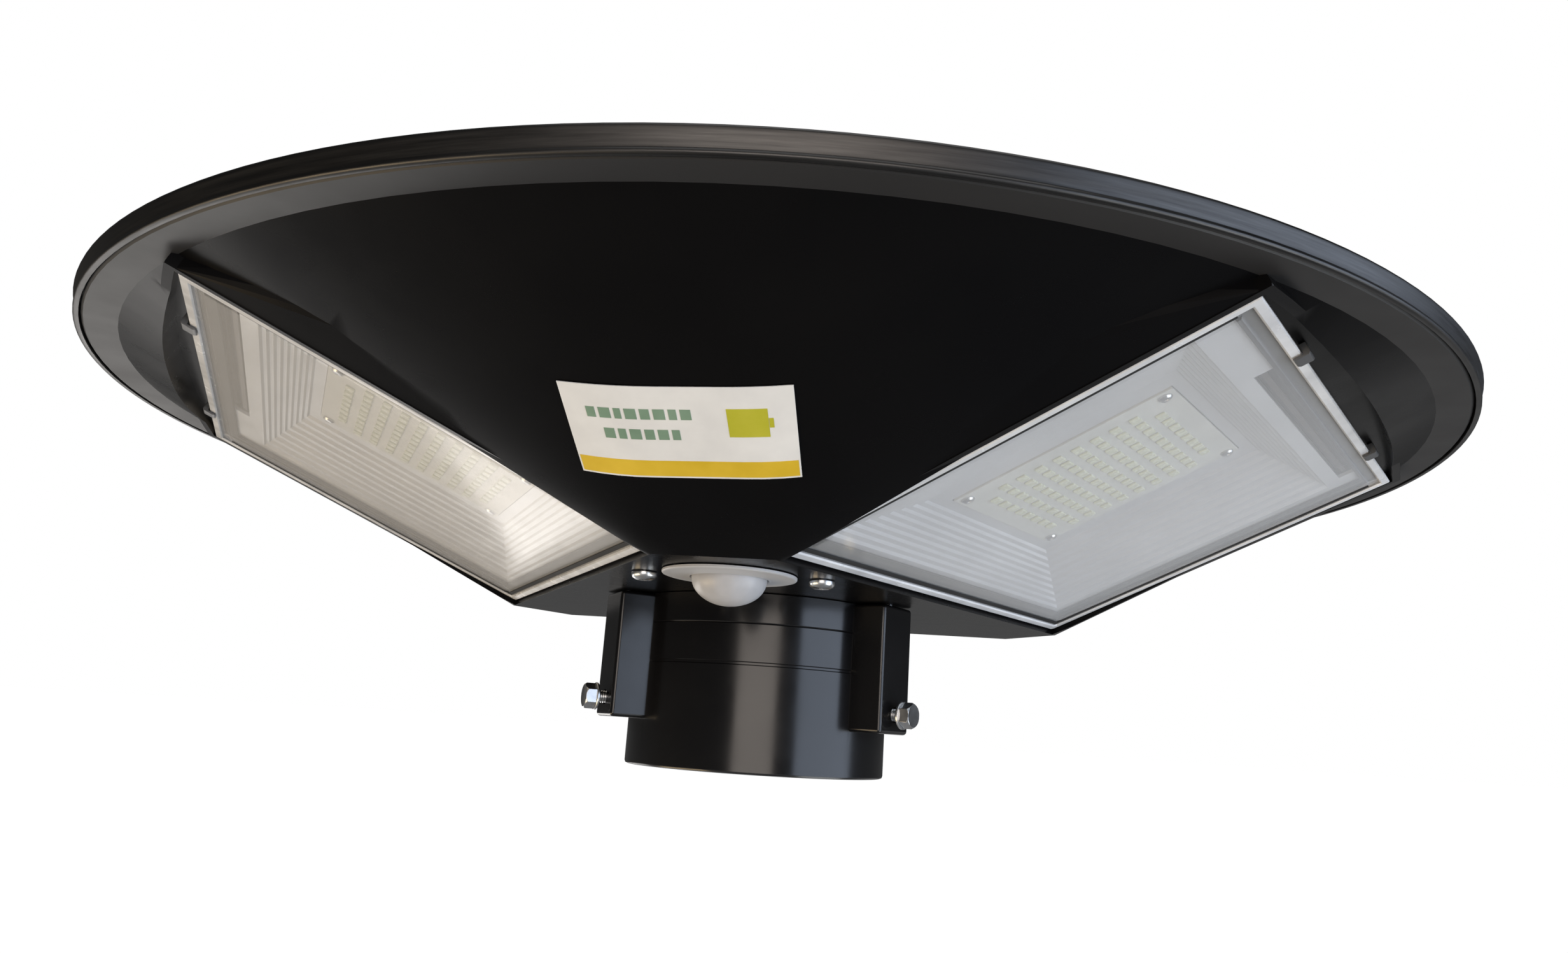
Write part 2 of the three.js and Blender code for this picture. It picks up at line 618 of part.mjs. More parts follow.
function batteryTray() {
  const { x, y0, y1, wall, height, floor } = BATTERY_TRAY;
  const outer = block(-x, x, y0, y1, TRAY_Z, TRAY_Z + height);
  const inner = block(-x + wall, x - wall, y0 + wall, y1 - wall, TRAY_Z + floor, TRAY_Z + height + 1);
  const hubTop = HUB_Z + WALL + GAP;
  const backingTop = hubTop + BACKING_THICKNESS + GAP;
  const legs = [-1, 1].flatMap((side) => [
    bar(3, backingTop, TRAY_Z + 1, 12, shift(side * 46.5, -16, 0)),
    bar(3, hubTop, TRAY_Z + 1, 12, shift(side * 47, 53, 0)),
  ]);
  return outer.subtract(inner).add(joined(legs));
}

add("battery_tray", batteryTray(), "blackPlastic");

const cellZ = TRAY_Z + BATTERY_TRAY.floor + GAP + CELL_CAN_RADIUS;
[-1, 0, 1].forEach((column, index) => {
  const half = CELL_CAN_LENGTH / 2;
  const can = bar(CELL_CAN_RADIUS, -half, half - 2, 32).add(bar(5, half - 3, half, 16));
  const cell = can.rotate([90, 0, 0]).translate([column * CELL_PITCH, BATTERY_Y, cellZ]);
  add("battery_cell_" + (index + 1), cell, "cellWrap");
});

// A strap over the cells, with its ends hooked inside the tray's walls.
function batteryStrap() {
  const top = cellZ + CELL_CAN_RADIUS + GAP;
  const x = BATTERY_TRAY.x + 1.2;
  const outer = block(-x, x, BATTERY_Y - 8, BATTERY_Y + 8, TRAY_Z + 6, top + 0.8);
  const inner = block(-x + 0.8, x - 0.8, BATTERY_Y - 9, BATTERY_Y + 9, TRAY_Z, top);
  return outer.subtract(inner);
}

add("battery_strap", batteryStrap(), "blackPlastic");

const controllerArea = { x: 29, y0: -86, y1: -44 };
const bracketZ = 76;

function controllerBracket() {
  const { x, y0, y1 } = controllerArea;
  const plate = block(-x, x, y0, y1, bracketZ, bracketZ + BRACKET_THICKNESS);
  const legs = [-1, 1].flatMap((side) => [
    bar(4, HUB_Z + WALL + GAP, bracketZ + 1, 16, shift(side * BRACKET_SCREW.x, BRACKET_SCREW.y, 0)),
    bar(2.5, HUB_Z + WALL + GAP, bracketZ + 1, 12, shift(side * 34.5, -51, 0)),
  ]);
  const arms = [-31, 31].map((middle) =>
    block(middle - 5.5, middle + 5.5, -54, -48, bracketZ, bracketZ + BRACKET_THICKNESS),
  );
  const pilots = [-1, 1].map((side) =>
    bar(BRACKET_SCREW.hole, HUB_Z, HUB_Z + 14, 12, shift(side * BRACKET_SCREW.x, BRACKET_SCREW.y, 0)),
  );
  return joined([plate, ...arms, ...legs]).subtract(joined(pilots));
}

add("controller_bracket", controllerBracket(), "blackPlastic");

[-1, 1].forEach((side, index) => {
  const { x, y, shank, head, headHeight } = BRACKET_SCREW;
  const pan = bar(head, HUB_Z - GAP - headHeight, HUB_Z - GAP, 20);
  const screw = pan.add(bar(shank, HUB_Z - 1, HUB_Z + 12, 12));
  add("bracket_screw_" + (index + 1), screw.translate([side * x, y, 0]), "steel");
});

// The charge controller: a board with its terminals, inductor and capacitors.
function controllerBoard() {
  const { x, y0, y1 } = controllerArea;
  const low = bracketZ + BRACKET_THICKNESS + GAP;
  const top = low + BOARD_THICKNESS;
  const parts = [
    block(-x + 2, x - 2, y0 + 1, y1 - 1, low, top),
    block(-24, 24, y1 - 11, y1 - 3, top - 0.1, top + 8),
    block(-22, -10, y0 + 8, y0 + 20, top - 0.1, top + 6),
    bar(4, top - 0.1, top + 11, 16, shift(12, y0 + 14, 0)),
    bar(4, top - 0.1, top + 11, 16, shift(22, y0 + 14, 0)),
    block(-5, 3, y0 + 10, y0 + 18, top - 0.1, top + 1.5),
  ];
  return joined(parts);
}

add("controller_board", controllerBoard(), "greenCircuit");

// ---- Internal leads -----------------------------------------------------------------------------------

const terminalFront = controllerArea.y1 - 3 + 2 * GAP;
const terminalZ = bracketZ + 7.5;
const leadRadius = 1.5;

const terminal = (x) => [x, terminalFront, terminalZ];
const sideRoute = (side) => [
  [side * 96, -55.4, 95.2],
  [side * 86, -50, 98],
  [side * 68, -40, 97],
  [side * 44, -32, 92],
  [side * 24, -33, 86],
  terminal(side * 18),
];

const leads = {
  panel_lead: [
    [0, -45.6, 104],
    [0, -42, 103.4],
    [0, -38, 99],
    [0, -37, 91],
    [0, -38.4, 85],
    terminal(0),
  ],
  battery_lead: [[-8, -16.6, 88], [-8, -22, 88], [-8, -30, 86], terminal(-8)],
  led_lead_1: sideRoute(1),
  led_lead_2: [
    [0, 110.8, 95.2],
    [5, 96, 99.5],
    [16.5, 70, 101],
    [16.5, 20, 101],
    [16.5, -20, 98],
    [12, -33, 88],
    terminal(9),
  ],
  led_lead_3: sideRoute(-1),
  sensor_lead: [[0, SENSOR_Y, 66.2], [0, SENSOR_Y, 68], [0, -79, 71], [0, -74, 73]],
  switch_lead: [
    [SWITCH_X, SWITCH_Y, 66.3],
    [-31, 50, 67.6],
    [-26, 20, 67.6],
    [-18, -22, 68.5],
    [-13, -34, 75],
    [-13, -38.5, 82],
    terminal(-13),
  ],
};
for (const [name, points] of Object.entries(leads)) {
  add(name, tube(points, leadRadius, 4 * points.length), "lead");
}

// ---- Label --------------------------------------------------------------------------------------------

// The label follows the dish a little off its surface, in the gap that faces -Y.
function label() {
  const skin = dish(GAP + LABEL.thickness).subtract(dish(GAP));
  const slope = Math.atan2(SHOULDER_Z - HUB_Z, SHOULDER_RADIUS - HUB_CORNER);
  const halfRun = (LABEL.height / 2) * Math.cos(slope);
  const outline = block(-LABEL.width / 2, LABEL.width / 2, -halfRun, halfRun, 40, 104);
  return skin.intersect(outline.rotate([0, 0, LABEL.turn]).translate([LABEL.offset, -LABEL.radius, 0]));
}

add("rating_label", label(), "label");

export default lamp;
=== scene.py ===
import json
import math

import bmesh
import bpy
from mathutils import Matrix, Vector


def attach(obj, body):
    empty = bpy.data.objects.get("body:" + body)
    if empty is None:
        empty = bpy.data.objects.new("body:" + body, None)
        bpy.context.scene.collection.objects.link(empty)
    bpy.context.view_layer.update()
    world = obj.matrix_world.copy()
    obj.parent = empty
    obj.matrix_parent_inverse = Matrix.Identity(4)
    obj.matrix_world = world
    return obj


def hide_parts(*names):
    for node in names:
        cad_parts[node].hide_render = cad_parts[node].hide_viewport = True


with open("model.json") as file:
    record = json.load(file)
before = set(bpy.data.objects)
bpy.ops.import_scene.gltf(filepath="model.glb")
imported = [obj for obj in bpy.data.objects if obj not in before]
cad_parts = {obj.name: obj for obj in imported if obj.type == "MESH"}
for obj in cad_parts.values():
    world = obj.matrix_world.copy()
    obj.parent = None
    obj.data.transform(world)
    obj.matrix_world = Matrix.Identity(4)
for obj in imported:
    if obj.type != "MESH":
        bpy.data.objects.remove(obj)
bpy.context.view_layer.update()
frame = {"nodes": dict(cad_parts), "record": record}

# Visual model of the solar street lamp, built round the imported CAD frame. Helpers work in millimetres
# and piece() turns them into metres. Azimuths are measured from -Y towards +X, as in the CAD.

nodes = frame["nodes"]
MM = 0.001

# ---- Dimensions in millimetres, most of them as in the CAD ------------------------

# Rim and housing: a dish from the shoulder ring down to the hub plate
RIM_RADIUS = 215
RIM_TOP = 113
RIM_BOTTOM = 107.3
SHOULDER_RADIUS = 204
SHOULDER_Z = 107.5
FLANGE_TOP = 109.1
FLANGE_RADIUS = 212.6
WALL = 3
HUB_Z = 54.6  # underside of the hub plate
HUB_SIDE = 69.5  # axis to each long side of the hub plate, under a module
HUB_CORNER = 112  # axis to each cut corner of the hub plate, between modules
GAP_AZIMUTHS = (0, 120, 240)
DISH_SLOPE = 26  # of the dish's wall, in degrees, near enough for its offset surfaces
SEAT_Z = 54.3  # top of what sits under the hub plate, a joint's clearance below it
LARGE_ROUND = 144  # sides of the large circles

# LED modules, each on its own slanted plane
MODULE_AZIMUTHS = (60, 180, 300)
MODULE_SLOPE = 22.65
MODULE_Z = 56.35  # height of the module's inner edge
MODULE_LENGTH = 123.5  # up the slope
MODULE_HALF = 86  # half the width round the axis
COVER_THICKNESS = 2.2
COVER_CORNER = 1
COVER_CLEARANCE = 0.6
CRESCENT = 6.5  # depth of the curved gap past the outer edge of the cover
FRAME_MARGIN = 2.8  # the frame's outer face is this far outside the cover
FLARE_WIDTH = 16
FLARE_HEIGHT = 5
FRAME_TOP = 5  # the frame ends this far inside the cover's face
CLIP_OFFSET = 47
CLIP_HALF_WIDTH = 2.6
TRAY_INSET = 3.05
TRAY_DEPTH = 14.4
TRAY_FLANGE_Z = 3.6
TRAY_WALL = 1
TRAY_MOUTH = (79, 7, 108)  # half width, low edge and high edge of the hollow in its flange
TRAY_FLOOR = (42, 23, 97)  # the same at its floor
TRAY_NOTCH = (-70, 40, 111.6)  # sides and low edge of the notch in its flange
BOARD_CENTRE = 60
BOARD_Z = TRAY_DEPTH - 0.6
BOARD_HALF = 33
WINDOW_HALF = 33.3  # of the hole for the board in the tray's floor

# Pole collar, its ears and the clamp bolts
COLLAR_RADIUS = 43.2
BORE_RADIUS = 39.4
COLLAR_TOP = SEAT_Z
EAR_ROOT = 41.2  # inside the tube's wall
EAR_RADIUS = 53.6
EAR_WIDTH = 17.5
EAR_BOTTOM = 14.5
SCREW_CIRCLE = 49
SCREW_HOLE_RADIUS = 2.3
SCREW_HOLE_DEPTH = 14
BOLT_Z = 20.5
BOLT_TIP = 40
BOLT_HOLE_RADIUS = 2.4
WASHER_START = 56.2
INSERT_RADIUS = 3.5
INSERT_END = 50.5

# Sensor, switch and bracket screws on the hub plate
SENSOR_Y = -83
SENSOR_NECK_RADIUS = 13.6
LENS_RADIUS = 10.4
LENS_BOTTOM = 45.6
BEZEL_BOTTOM = 53
SWITCH = (-34.5, 54.5)
SWITCH_NECK_RADIUS = 7
NECK_CLEARANCE = 0.4
HUB_SCREW = (25, -78)
HUB_SCREW_HOLE_RADIUS = 1.9

# Label on the dish: its size, the distance of its middle from the axis, and its turn in degrees
LABEL_WIDTH = 51.2
LABEL_HEIGHT = 28
LABEL_RADIUS = 149.4
LABEL_OFFSET = -2.4
LABEL_TURN = -1.6


# ---- Mesh helpers ----------------------------------------------------

def outward(azimuth):
    a = math.radians(azimuth)
    return Vector((math.sin(a), -math.cos(a), 0))


def turned(azimuth):
    """Turns +X to point outward at an azimuth."""
    return Matrix.Rotation(math.radians(azimuth - 90), 4, "Z")


def module_frame(azimuth):
    """X round the axis, Y up the slope from the inner edge, Z into the housing."""
    out = outward(azimuth)
    c, s = math.cos(math.radians(MODULE_SLOPE)), math.sin(math.radians(MODULE_SLOPE))
    slope = out * c + Vector((0, 0, s))
    inward = out * -s + Vector((0, 0, c))
    across = slope.cross(inward)
    place = Matrix((across, slope, inward)).transposed().to_4x4()
    place.translation = out * HUB_SIDE + Vector((0, 0, MODULE_Z))
    return place


def lathe(profile, segments=96, closed=False):
    """A surface of revolution about Z. A closed profile makes a ring; an open one meets the axis."""
    bm = bmesh.new()
    rows = []
    for radius, height in profile:
        if radius < 1e-6:
            rows.append([bm.verts.new((0, 0, height))])
            continue
        row = []
        for i in range(segments):
            a = 2 * math.pi * i / segments
            row.append(bm.verts.new((radius * math.cos(a), radius * math.sin(a), height)))
        rows.append(row)
    pairs = list(zip(rows, rows[1:]))
    if closed:
        pairs.append((rows[-1], rows[0]))
    for low, high in pairs:
        for i in range(segments):
            j = (i + 1) % segments
            corners = [low[i % len(low)], low[j % len(low)], high[j % len(high)], high[i % len(high)]]
            unique = list(dict.fromkeys(corners))
            if len(unique) > 2:
                bm.faces.new(unique)
    bmesh.ops.recalc_face_normals(bm, faces=bm.faces)
    return bm


def prism(outline, z0, z1):
    """A flat outline of (x, y) points, extruded from z0 to z1."""
    bm = bmesh.new()
    low = [bm.verts.new((x, y, z0)) for x, y in outline]
    high = [bm.verts.new((x, y, z1)) for x, y in outline]
    bm.faces.new(list(reversed(low)))
    bm.faces.new(high)
    for i in range(len(low)):
        j = (i + 1) % len(low)
        bm.faces.new((low[i], low[j], high[j], high[i]))
    bmesh.ops.recalc_face_normals(bm, faces=bm.faces)
    return bm


def block(x0, x1, y0, y1, z0, z1):
    return prism([(x0, y0), (x1, y0), (x1, y1), (x0, y1)], z0, z1)


def circle(radius, segments, x=0.0, y=0.0):
    angles = [2 * math.pi * i / segments for i in range(segments)]
    return [(x + radius * math.cos(a), y + radius * math.sin(a)) for a in angles]


def bar(radius, z0, z1, segments=32, x=0.0, y=0.0):
    return prism(circle(radius, segments, x, y), z0, z1)


def moved(bm, matrix):
    bmesh.ops.transform(bm, matrix=matrix, verts=bm.verts)
    return bm


def merged(*parts):
    """Several separate closed bodies in one mesh."""
    whole = bmesh.new()
    for part in parts:
        mesh = bpy.data.meshes.new("part")
        part.to_mesh(mesh)
        whole.from_mesh(mesh)
        bpy.data.meshes.remove(mesh)
        part.free()
    return whole


def softened(bm, width, segments=2, angle=30):
    """Rounds every edge that turns more than the angle."""
    edges = [e for e in bm.edges if e.is_manifold and e.calc_face_angle(0) > math.radians(angle)]
    bmesh.ops.bevel(
        bm, geom=edges, offset=width, segments=segments, profile=0.5, affect="EDGES", clamp_overlap=True,
    )
    return bm


def temporary(bm):
    mesh = bpy.data.meshes.new("tool")
    bm.to_mesh(mesh)
    bm.free()
    tool = bpy.data.objects.new("tool", mesh)
    bpy.context.scene.collection.objects.link(tool)
    return tool


def combined(base, steps):
    """Applies boolean steps, each ("UNION" | "DIFFERENCE" | "INTERSECT", bmesh), to a bmesh."""
    target = temporary(base)
    tools = []
    for operation, bm in steps:
        tool = temporary(bm)
        tools.append(tool)
        modifier = target.modifiers.new(operation, "BOOLEAN")
        modifier.operation = operation
        modifier.solver = "EXACT"
        modifier.object = tool
    bpy.context.view_layer.update()
    evaluated = target.evaluated_get(bpy.context.evaluated_depsgraph_get())
    mesh = bpy.data.meshes.new_from_object(evaluated)
    result = bmesh.new()
    result.from_mesh(mesh)
    bpy.data.meshes.remove(mesh)
    for tool in tools + [target]:
        data = tool.data
        bpy.data.objects.remove(tool)
        bpy.data.meshes.remove(data)
    bmesh.ops.remove_doubles(result, verts=result.verts, dist=1e-4)
    return result


def piece(name, bm, material, body="lamp", matrix=None, replaces=(), smooth=35):
    """Makes a shown piece in metres from a mesh in millimetres, riding on a CAD body."""
    if matrix is not None:
        moved(bm, matrix)
    moved(bm, Matrix.Scale(MM, 4))
    mesh = bpy.data.meshes.new(name)
    bm.to_mesh(mesh)
    bm.free()
    mesh.shade_smooth()
    mesh.set_sharp_from_angle(angle=math.radians(smooth))
    thing = bpy.data.objects.new(name, mesh)
    bpy.context.scene.collection.objects.link(thing)
    mesh.materials.append(material)
    weighted = thing.modifiers.new("normals", "WEIGHTED_NORMAL")
    weighted.keep_sharp = True
    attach(thing, body)
    if replaces:
        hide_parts(*replaces)
    return thing


# ---- Materials -------------------------------------------------------

class Look:
    """A procedural material: a Principled shader with nodes added round it."""

    def __init__(self, name, **values):
        self.material = bpy.data.materials.new(name)
        self.material.use_nodes = True
        self.tree = self.material.node_tree
        self.shader = self.tree.nodes["Principled BSDF"]
        self.coordinates = self.tree.nodes.new("ShaderNodeTexCoord")
        for key, value in values.items():
            socket = self.shader.inputs[key.replace("_", " ")]
            socket.default_value = (*value, 1) if isinstance(value, tuple) and len(value) == 3 else value

    def link(self, source, target):
        self.tree.links.new(source, target)

    def noise(self, scale, detail=4.0, roughness=0.55, stretch=(1, 1, 1)):
        mapping = self.tree.nodes.new("ShaderNodeMapping")
        mapping.inputs["Scale"].default_value = stretch
        self.link(self.coordinates.outputs["Object"], mapping.inputs["Vector"])
        texture = self.tree.nodes.new("ShaderNodeTexNoise")
        texture.inputs["Scale"].default_value = scale
        texture.inputs["Detail"].default_value = detail
        texture.inputs["Roughness"].default_value = roughness
        self.link(mapping.outputs["Vector"], texture.inputs["Vector"])
        return texture.outputs["Fac"]

    def spread(self, value, low, high, from_low=0.3, from_high=0.7):
        """Turns a 0 to 1 value into a number between low and high."""
        node = self.tree.nodes.new("ShaderNodeMapRange")
        node.inputs["From Min"].default_value = from_low
        node.inputs["From Max"].default_value = from_high
        node.inputs["To Min"].default_value = low
        node.inputs["To Max"].default_value = high
        self.link(value, node.inputs["Value"])
        return node.outputs["Result"]

    def mixed(self, factor, a, b):
        """A colour between a and b; each is a tuple or a socket."""
        node = self.tree.nodes.new("ShaderNodeMix")
        node.data_type = "RGBA"
        self.link(factor, node.inputs["Factor"])
        for socket, value in ((node.inputs[6], a), (node.inputs[7], b)):
            if isinstance(value, tuple):
                socket.default_value = (*value, 1)
            else:
                self.link(value, socket)
        return node.outputs[2]

    def color(self, source):
        self.link(source, self.shader.inputs["Base Color"])

    def rough(self, source):
        self.link(source, self.shader.inputs["Roughness"])

    def drift_color(self, scale, detail, dark, light):
        """Base colour that drifts between two colours."""
        self.color(self.mixed(self.spread(self.noise(scale, detail), 0, 1), dark, light))

    def drift_rough(self, scale, detail, low, high):
        """Roughness that drifts between two values."""
        self.rough(self.spread(self.noise(scale, detail), low, high))

    def see_through(self, blend, low, high, from_low):
        """Alpha that grows from low, seen face on, to high at grazing angles."""
        facing = self.tree.nodes.new("ShaderNodeLayerWeight")
        facing.inputs["Blend"].default_value = blend
        alpha = self.spread(facing.outputs["Facing"], low, high, from_low, 1)
        self.link(alpha, self.shader.inputs["Alpha"])

    def bump(self, height, strength, distance):
        node = self.tree.nodes.new("ShaderNodeBump")
        node.inputs["Strength"].default_value = strength
        node.inputs["Distance"].default_value = distance
        self.link(height, node.inputs["Height"])
        self.link(node.outputs["Normal"], self.shader.inputs["Normal"])


def plastic(name, dark, light, rough, level=0.5, grain=2500, bump=0.12):
    """Moulded plastic: slow colour drift, slight roughness drift and a fine surface grain."""
    look = Look(name, Specular_IOR_Level=level)
    look.drift_color(14, 3, dark, light)
    look.drift_rough(42, 4, *rough)
    look.bump(look.noise(grain, 2), bump, 0.00004)
    return look


def metal(name, dark, light, rough, stretch=(1, 1, 1), scale=160):
    """Plain or brushed metal: the stretch sets the direction of the brushing."""
    look = Look(name, Metallic=1.0)
    streaks = look.noise(scale, 6, 0.65, stretch)
    look.color(look.mixed(look.spread(streaks, 0, 1), dark, light))
    look.rough(look.spread(look.noise(scale * 0.4, 4, 0.6, stretch), *rough))
    look.bump(streaks, 0.08, 0.00003)
    return look


def reflector_material():
    look = Look("reflector", Metallic=0.35, Specular_IOR_Level=0.6)
    look.drift_color(22, 3, (0.60, 0.61, 0.63), (0.73, 0.74, 0.76))
    look.drift_rough(90, 4, 0.28, 0.44)
    look.bump(look.noise(500, 3), 0.15, 0.0001)
    return look


def clear_material():
    """Clear polycarbonate: a thin coat of gloss on a mostly see-through body, greyer at grazing angles."""
    look = Look("clear_cover", Base_Color=(0.70, 0.71, 0.72), Roughness=0.07, Specular_IOR_Level=0.5)
    look.see_through(0.5, 0.03, 0.52, 0.35)
    look.drift_rough(140, 4, 0.05, 0.12)
    look.bump(look.noise(45, 2), 0.05, 0.0002)
    return look


def edge_material():
    """The moulded rim of a clear cover, where light collects and it looks frosted."""
    look = Look("cover_edge", Specular_IOR_Level=0.6, Alpha=0.88)
    look.drift_color(70, 4, (0.62, 0.63, 0.65), (0.86, 0.87, 0.88))
    look.drift_rough(160, 3, 0.12, 0.3)
    look.bump(look.noise(120, 3), 0.2, 0.0002)
    return look


def lens_material():
    look = Look("sensor_lens", Specular_IOR_Level=0.5, Subsurface_Weight=0.25, Subsurface_Scale=0.002)
    look.shader.inputs["Subsurface Radius"].default_value = (1, 1, 1)
    look.drift_color(120, 3, (0.40, 0.405, 0.42), (0.48, 0.485, 0.50))
    look.drift_rough(300, 3, 0.30, 0.42)
    look.bump(look.noise(700, 2), 0.12, 0.00005)
    return look


def glass_material():
    look = Look("panel_glass", Base_Color=(0.75, 0.83, 0.88), Roughness=0.05, Specular_IOR_Level=0.5)
    look.see_through(0.3, 0.05, 0.45, 0)
    look.drift_rough(60, 4, 0.03, 0.08)
    return look


def silicon_material():
    look = Look("silicon", Metallic=0.25, Specular_IOR_Level=0.6)
    cells = look.tree.nodes.new("ShaderNodeTexVoronoi")
    cells.inputs["Scale"].default_value = 140
    look.link(look.coordinates.outputs["Object"], cells.inputs["Vector"])
    grains = look.spread(cells.outputs["Color"], 0, 1, 0, 1)
    look.color(look.mixed(grains, (0.008, 0.018, 0.070), (0.018, 0.040, 0.140)))
    look.drift_rough(200, 3, 0.16, 0.28)
    return look


def board_material():
    look = Look("led_board", Specular_IOR_Level=0.4)
    look.drift_color(60, 3, (0.60, 0.61, 0.58), (0.68, 0.685, 0.65))
    look.drift_rough(200, 3, 0.4, 0.52)
    look.bump(look.noise(900, 2), 0.1, 0.00004)
    return look


def led_material():
    look = Look("led_packages", Specular_IOR_Level=0.6)
    look.drift_color(400, 3, (0.66, 0.69, 0.52), (0.74, 0.76, 0.60))
    look.drift_rough(600, 2, 0.2, 0.32)
    return look


def paper_material(name, dark, light):
    look = Look(name, Specular_IOR_Level=0.45)
    look.drift_color(90, 4, dark, light)
    look.drift_rough(260, 4, 0.28, 0.4)
    look.bump(look.noise(1600, 2), 0.08, 0.00003)
    return look


housing_look = plastic(
    "housing_black", (0.0025, 0.0025, 0.003), (0.0045, 0.0044, 0.0046), (0.24, 0.32), level=0.08,
)
# A lighter copy of the housing's black for the shoulder ring: painted reflection of the bright floor, with
# a duller gloss.
shoulder_reflection_look = plastic(
    "shoulder_painted_reflection", (0.020, 0.020, 0.021), (0.028, 0.028, 0.029), (0.42, 0.5), level=0.3,
)
collar_look = plastic(
    "collar_black", (0.003, 0.003, 0.0035), (0.006, 0.006, 0.0065), (0.15, 0.23), grain=900, bump=0.04,
)
clip_look = plastic(
    "clip_grey", (0.06, 0.062, 0.065), (0.09, 0.092, 0.096), (0.34, 0.46), grain=1500, bump=0.15,
)
rubber_look = plastic(
    "rubber", (0.018, 0.018, 0.018), (0.030, 0.030, 0.030), (0.7, 0.85), level=0.3, grain=1800, bump=0.3,
)
black_look = plastic(
    "black_plastic", (0.016, 0.016, 0.018), (0.026, 0.026, 0.028), (0.42, 0.58),
    level=0.45, grain=1500, bump=0.3,
)
bezel_look = plastic(
    "bezel_grey", (0.42, 0.43, 0.45), (0.52, 0.53, 0.55), (0.38, 0.5), grain=1500, bump=0.15,
)
sheet_look = plastic(
    "backsheet", (0.78, 0.79, 0.80), (0.88, 0.88, 0.88), (0.55, 0.7), level=0.4, grain=1200, bump=0.1,
)
button_look = plastic(
    "button_rubber", (0.05, 0.05, 0.055), (0.08, 0.08, 0.085), (0.55, 0.7), level=0.4, grain=1500, bump=0.3,
)
lead_look = plastic(
    "lead_insulation", (0.30, 0.025, 0.02), (0.40, 0.045, 0.03), (0.4, 0.5), grain=1500, bump=0.1,
)
wrap_look = plastic(
    "cell_wrap", (0.03, 0.13, 0.42), (0.05, 0.19, 0.52), (0.22, 0.34), grain=700, bump=0.15,
)
green_look = plastic(
    "circuit_green", (0.012, 0.12, 0.045), (0.025, 0.18, 0.07), (0.3, 0.42), grain=900, bump=0.15,
)
channel_look = plastic(
    "channel", (0.035, 0.029, 0.024), (0.075, 0.062, 0.052), (0.4, 0.55), grain=900, bump=0.2,
)
rim_look = metal(
    "rim_metal", (0.046, 0.045, 0.045), (0.072, 0.071, 0.070), (0.32, 0.46), stretch=(1, 1, 30), scale=60,
)
steel_look = metal("steel", (0.52, 0.53, 0.54), (0.72, 0.73, 0.74), (0.18, 0.34))
brass_look = metal("brass", (0.50, 0.34, 0.13), (0.66, 0.48, 0.22), (0.25, 0.4))
reflector_look = reflector_material()
clear_look = clear_material()
edge_look = edge_material()
lens_look = lens_material()
glass_look = glass_material()
silicon_look = silicon_material()
board_look = board_material()
led_look = led_material()
label_white = paper_material("label_white", (0.70, 0.71, 0.71), (0.78, 0.79, 0.785))
label_yellow = paper_material("label_yellow", (0.62, 0.42, 0.02), (0.72, 0.50, 0.04))
label_green = paper_material("label_green", (0.16, 0.26, 0.18), (0.22, 0.33, 0.24))
label_lime = paper_material("label_lime", (0.42, 0.42, 0.02), (0.52, 0.50, 0.05))

SLOT_LOOKS = {
    "housing_black": housing_look, "collar_black": collar_look, "frame_metal": rim_look,
    "panel_glass": glass_look, "silicon": silicon_look, "backsheet": sheet_look, "rubber": rubber_look,
    "clear_cover": clear_look, "reflector": reflector_look, "led_board": board_look,
    "circuit_green": green_look, "steel": steel_look, "brass": brass_look, "sensor_lens": lens_look,
    "sensor_bezel": bezel_look, "black_plastic": black_look, "cell_wrap": wrap_look,
    "button_rubber": button_look, "lead_insulation": lead_look, "clip_grey": clip_look,
}

# CAD nodes that no piece replaces are shown as they are, in the looks of their slots
for row in frame["record"]["subparts"]:
    node = nodes[row["node"]]
    node.data.materials.clear()
    look = SLOT_LOOKS.get(row["material_slot"])
    node.data.materials.append(look.material if look else label_white.material)


# ---- Housing ---------------------------------------------------------

def hub_corners(offset=0.0):
    """The six corners of the hub plate, in order of azimuth. An offset moves its edges outward."""
    grow = offset * math.tan(math.radians(DISH_SLOPE / 2))
    corner = HUB_CORNER + grow
    half = (2 * (HUB_SIDE + grow) - corner) * math.tan(math.radians(30))
    points = []
    for azimuth in GAP_AZIMUTHS:
        middle = outward(azimuth) * corner
        along = outward(azimuth + 90) * half
        points += [middle - along, middle + along]
    return points


def dish(offset=0.0):
    """The dish as a closed solid: rulings run from the hub's corners to the shoulder circle."""
    rows = 14
    step = 3
    corners = hub_corners(offset)
    radius = SHOULDER_RADIUS + offset / math.sin(math.radians(DISH_SLOPE))
    low_z = HUB_Z - offset
    columns = []
    for index, corner in enumerate(corners):
        following = corners[(index + 1) % 6]
        first = (index - 1) * 60
        for azimuth in range(first, first + 61, step):
            columns.append((corner, outward(azimuth) * radius))
        last = outward(first + 60) * radius
        for share in (0.25, 0.5, 0.75):
            columns.append((corner.lerp(following, share), last))
    bm = bmesh.new()
    rings = []
    for level in range(rows + 1):
        t = level / rows
        z = low_z + (SHOULDER_Z - low_z) * t
        rings.append([bm.verts.new((*low.lerp(high, t).xy, z)) for low, high in columns])
    for low, high in zip(rings, rings[1:]):
        for i in range(len(low)):
            j = (i + 1) % len(low)
            bm.faces.new((low[i], low[j], high[j], high[i]))
    bm.faces.new(list(reversed(rings[0])))
    bm.faces.new(rings[-1])
    bmesh.ops.remove_doubles(bm, verts=bm.verts, dist=0.001)
    bmesh.ops.dissolve_degenerate(bm, dist=0.001, edges=bm.edges)
    bmesh.ops.triangulate(bm, faces=[f for f in bm.faces if len(f.verts) == 4])
    bmesh.ops.recalc_face_normals(bm, faces=bm.faces)
    return bm


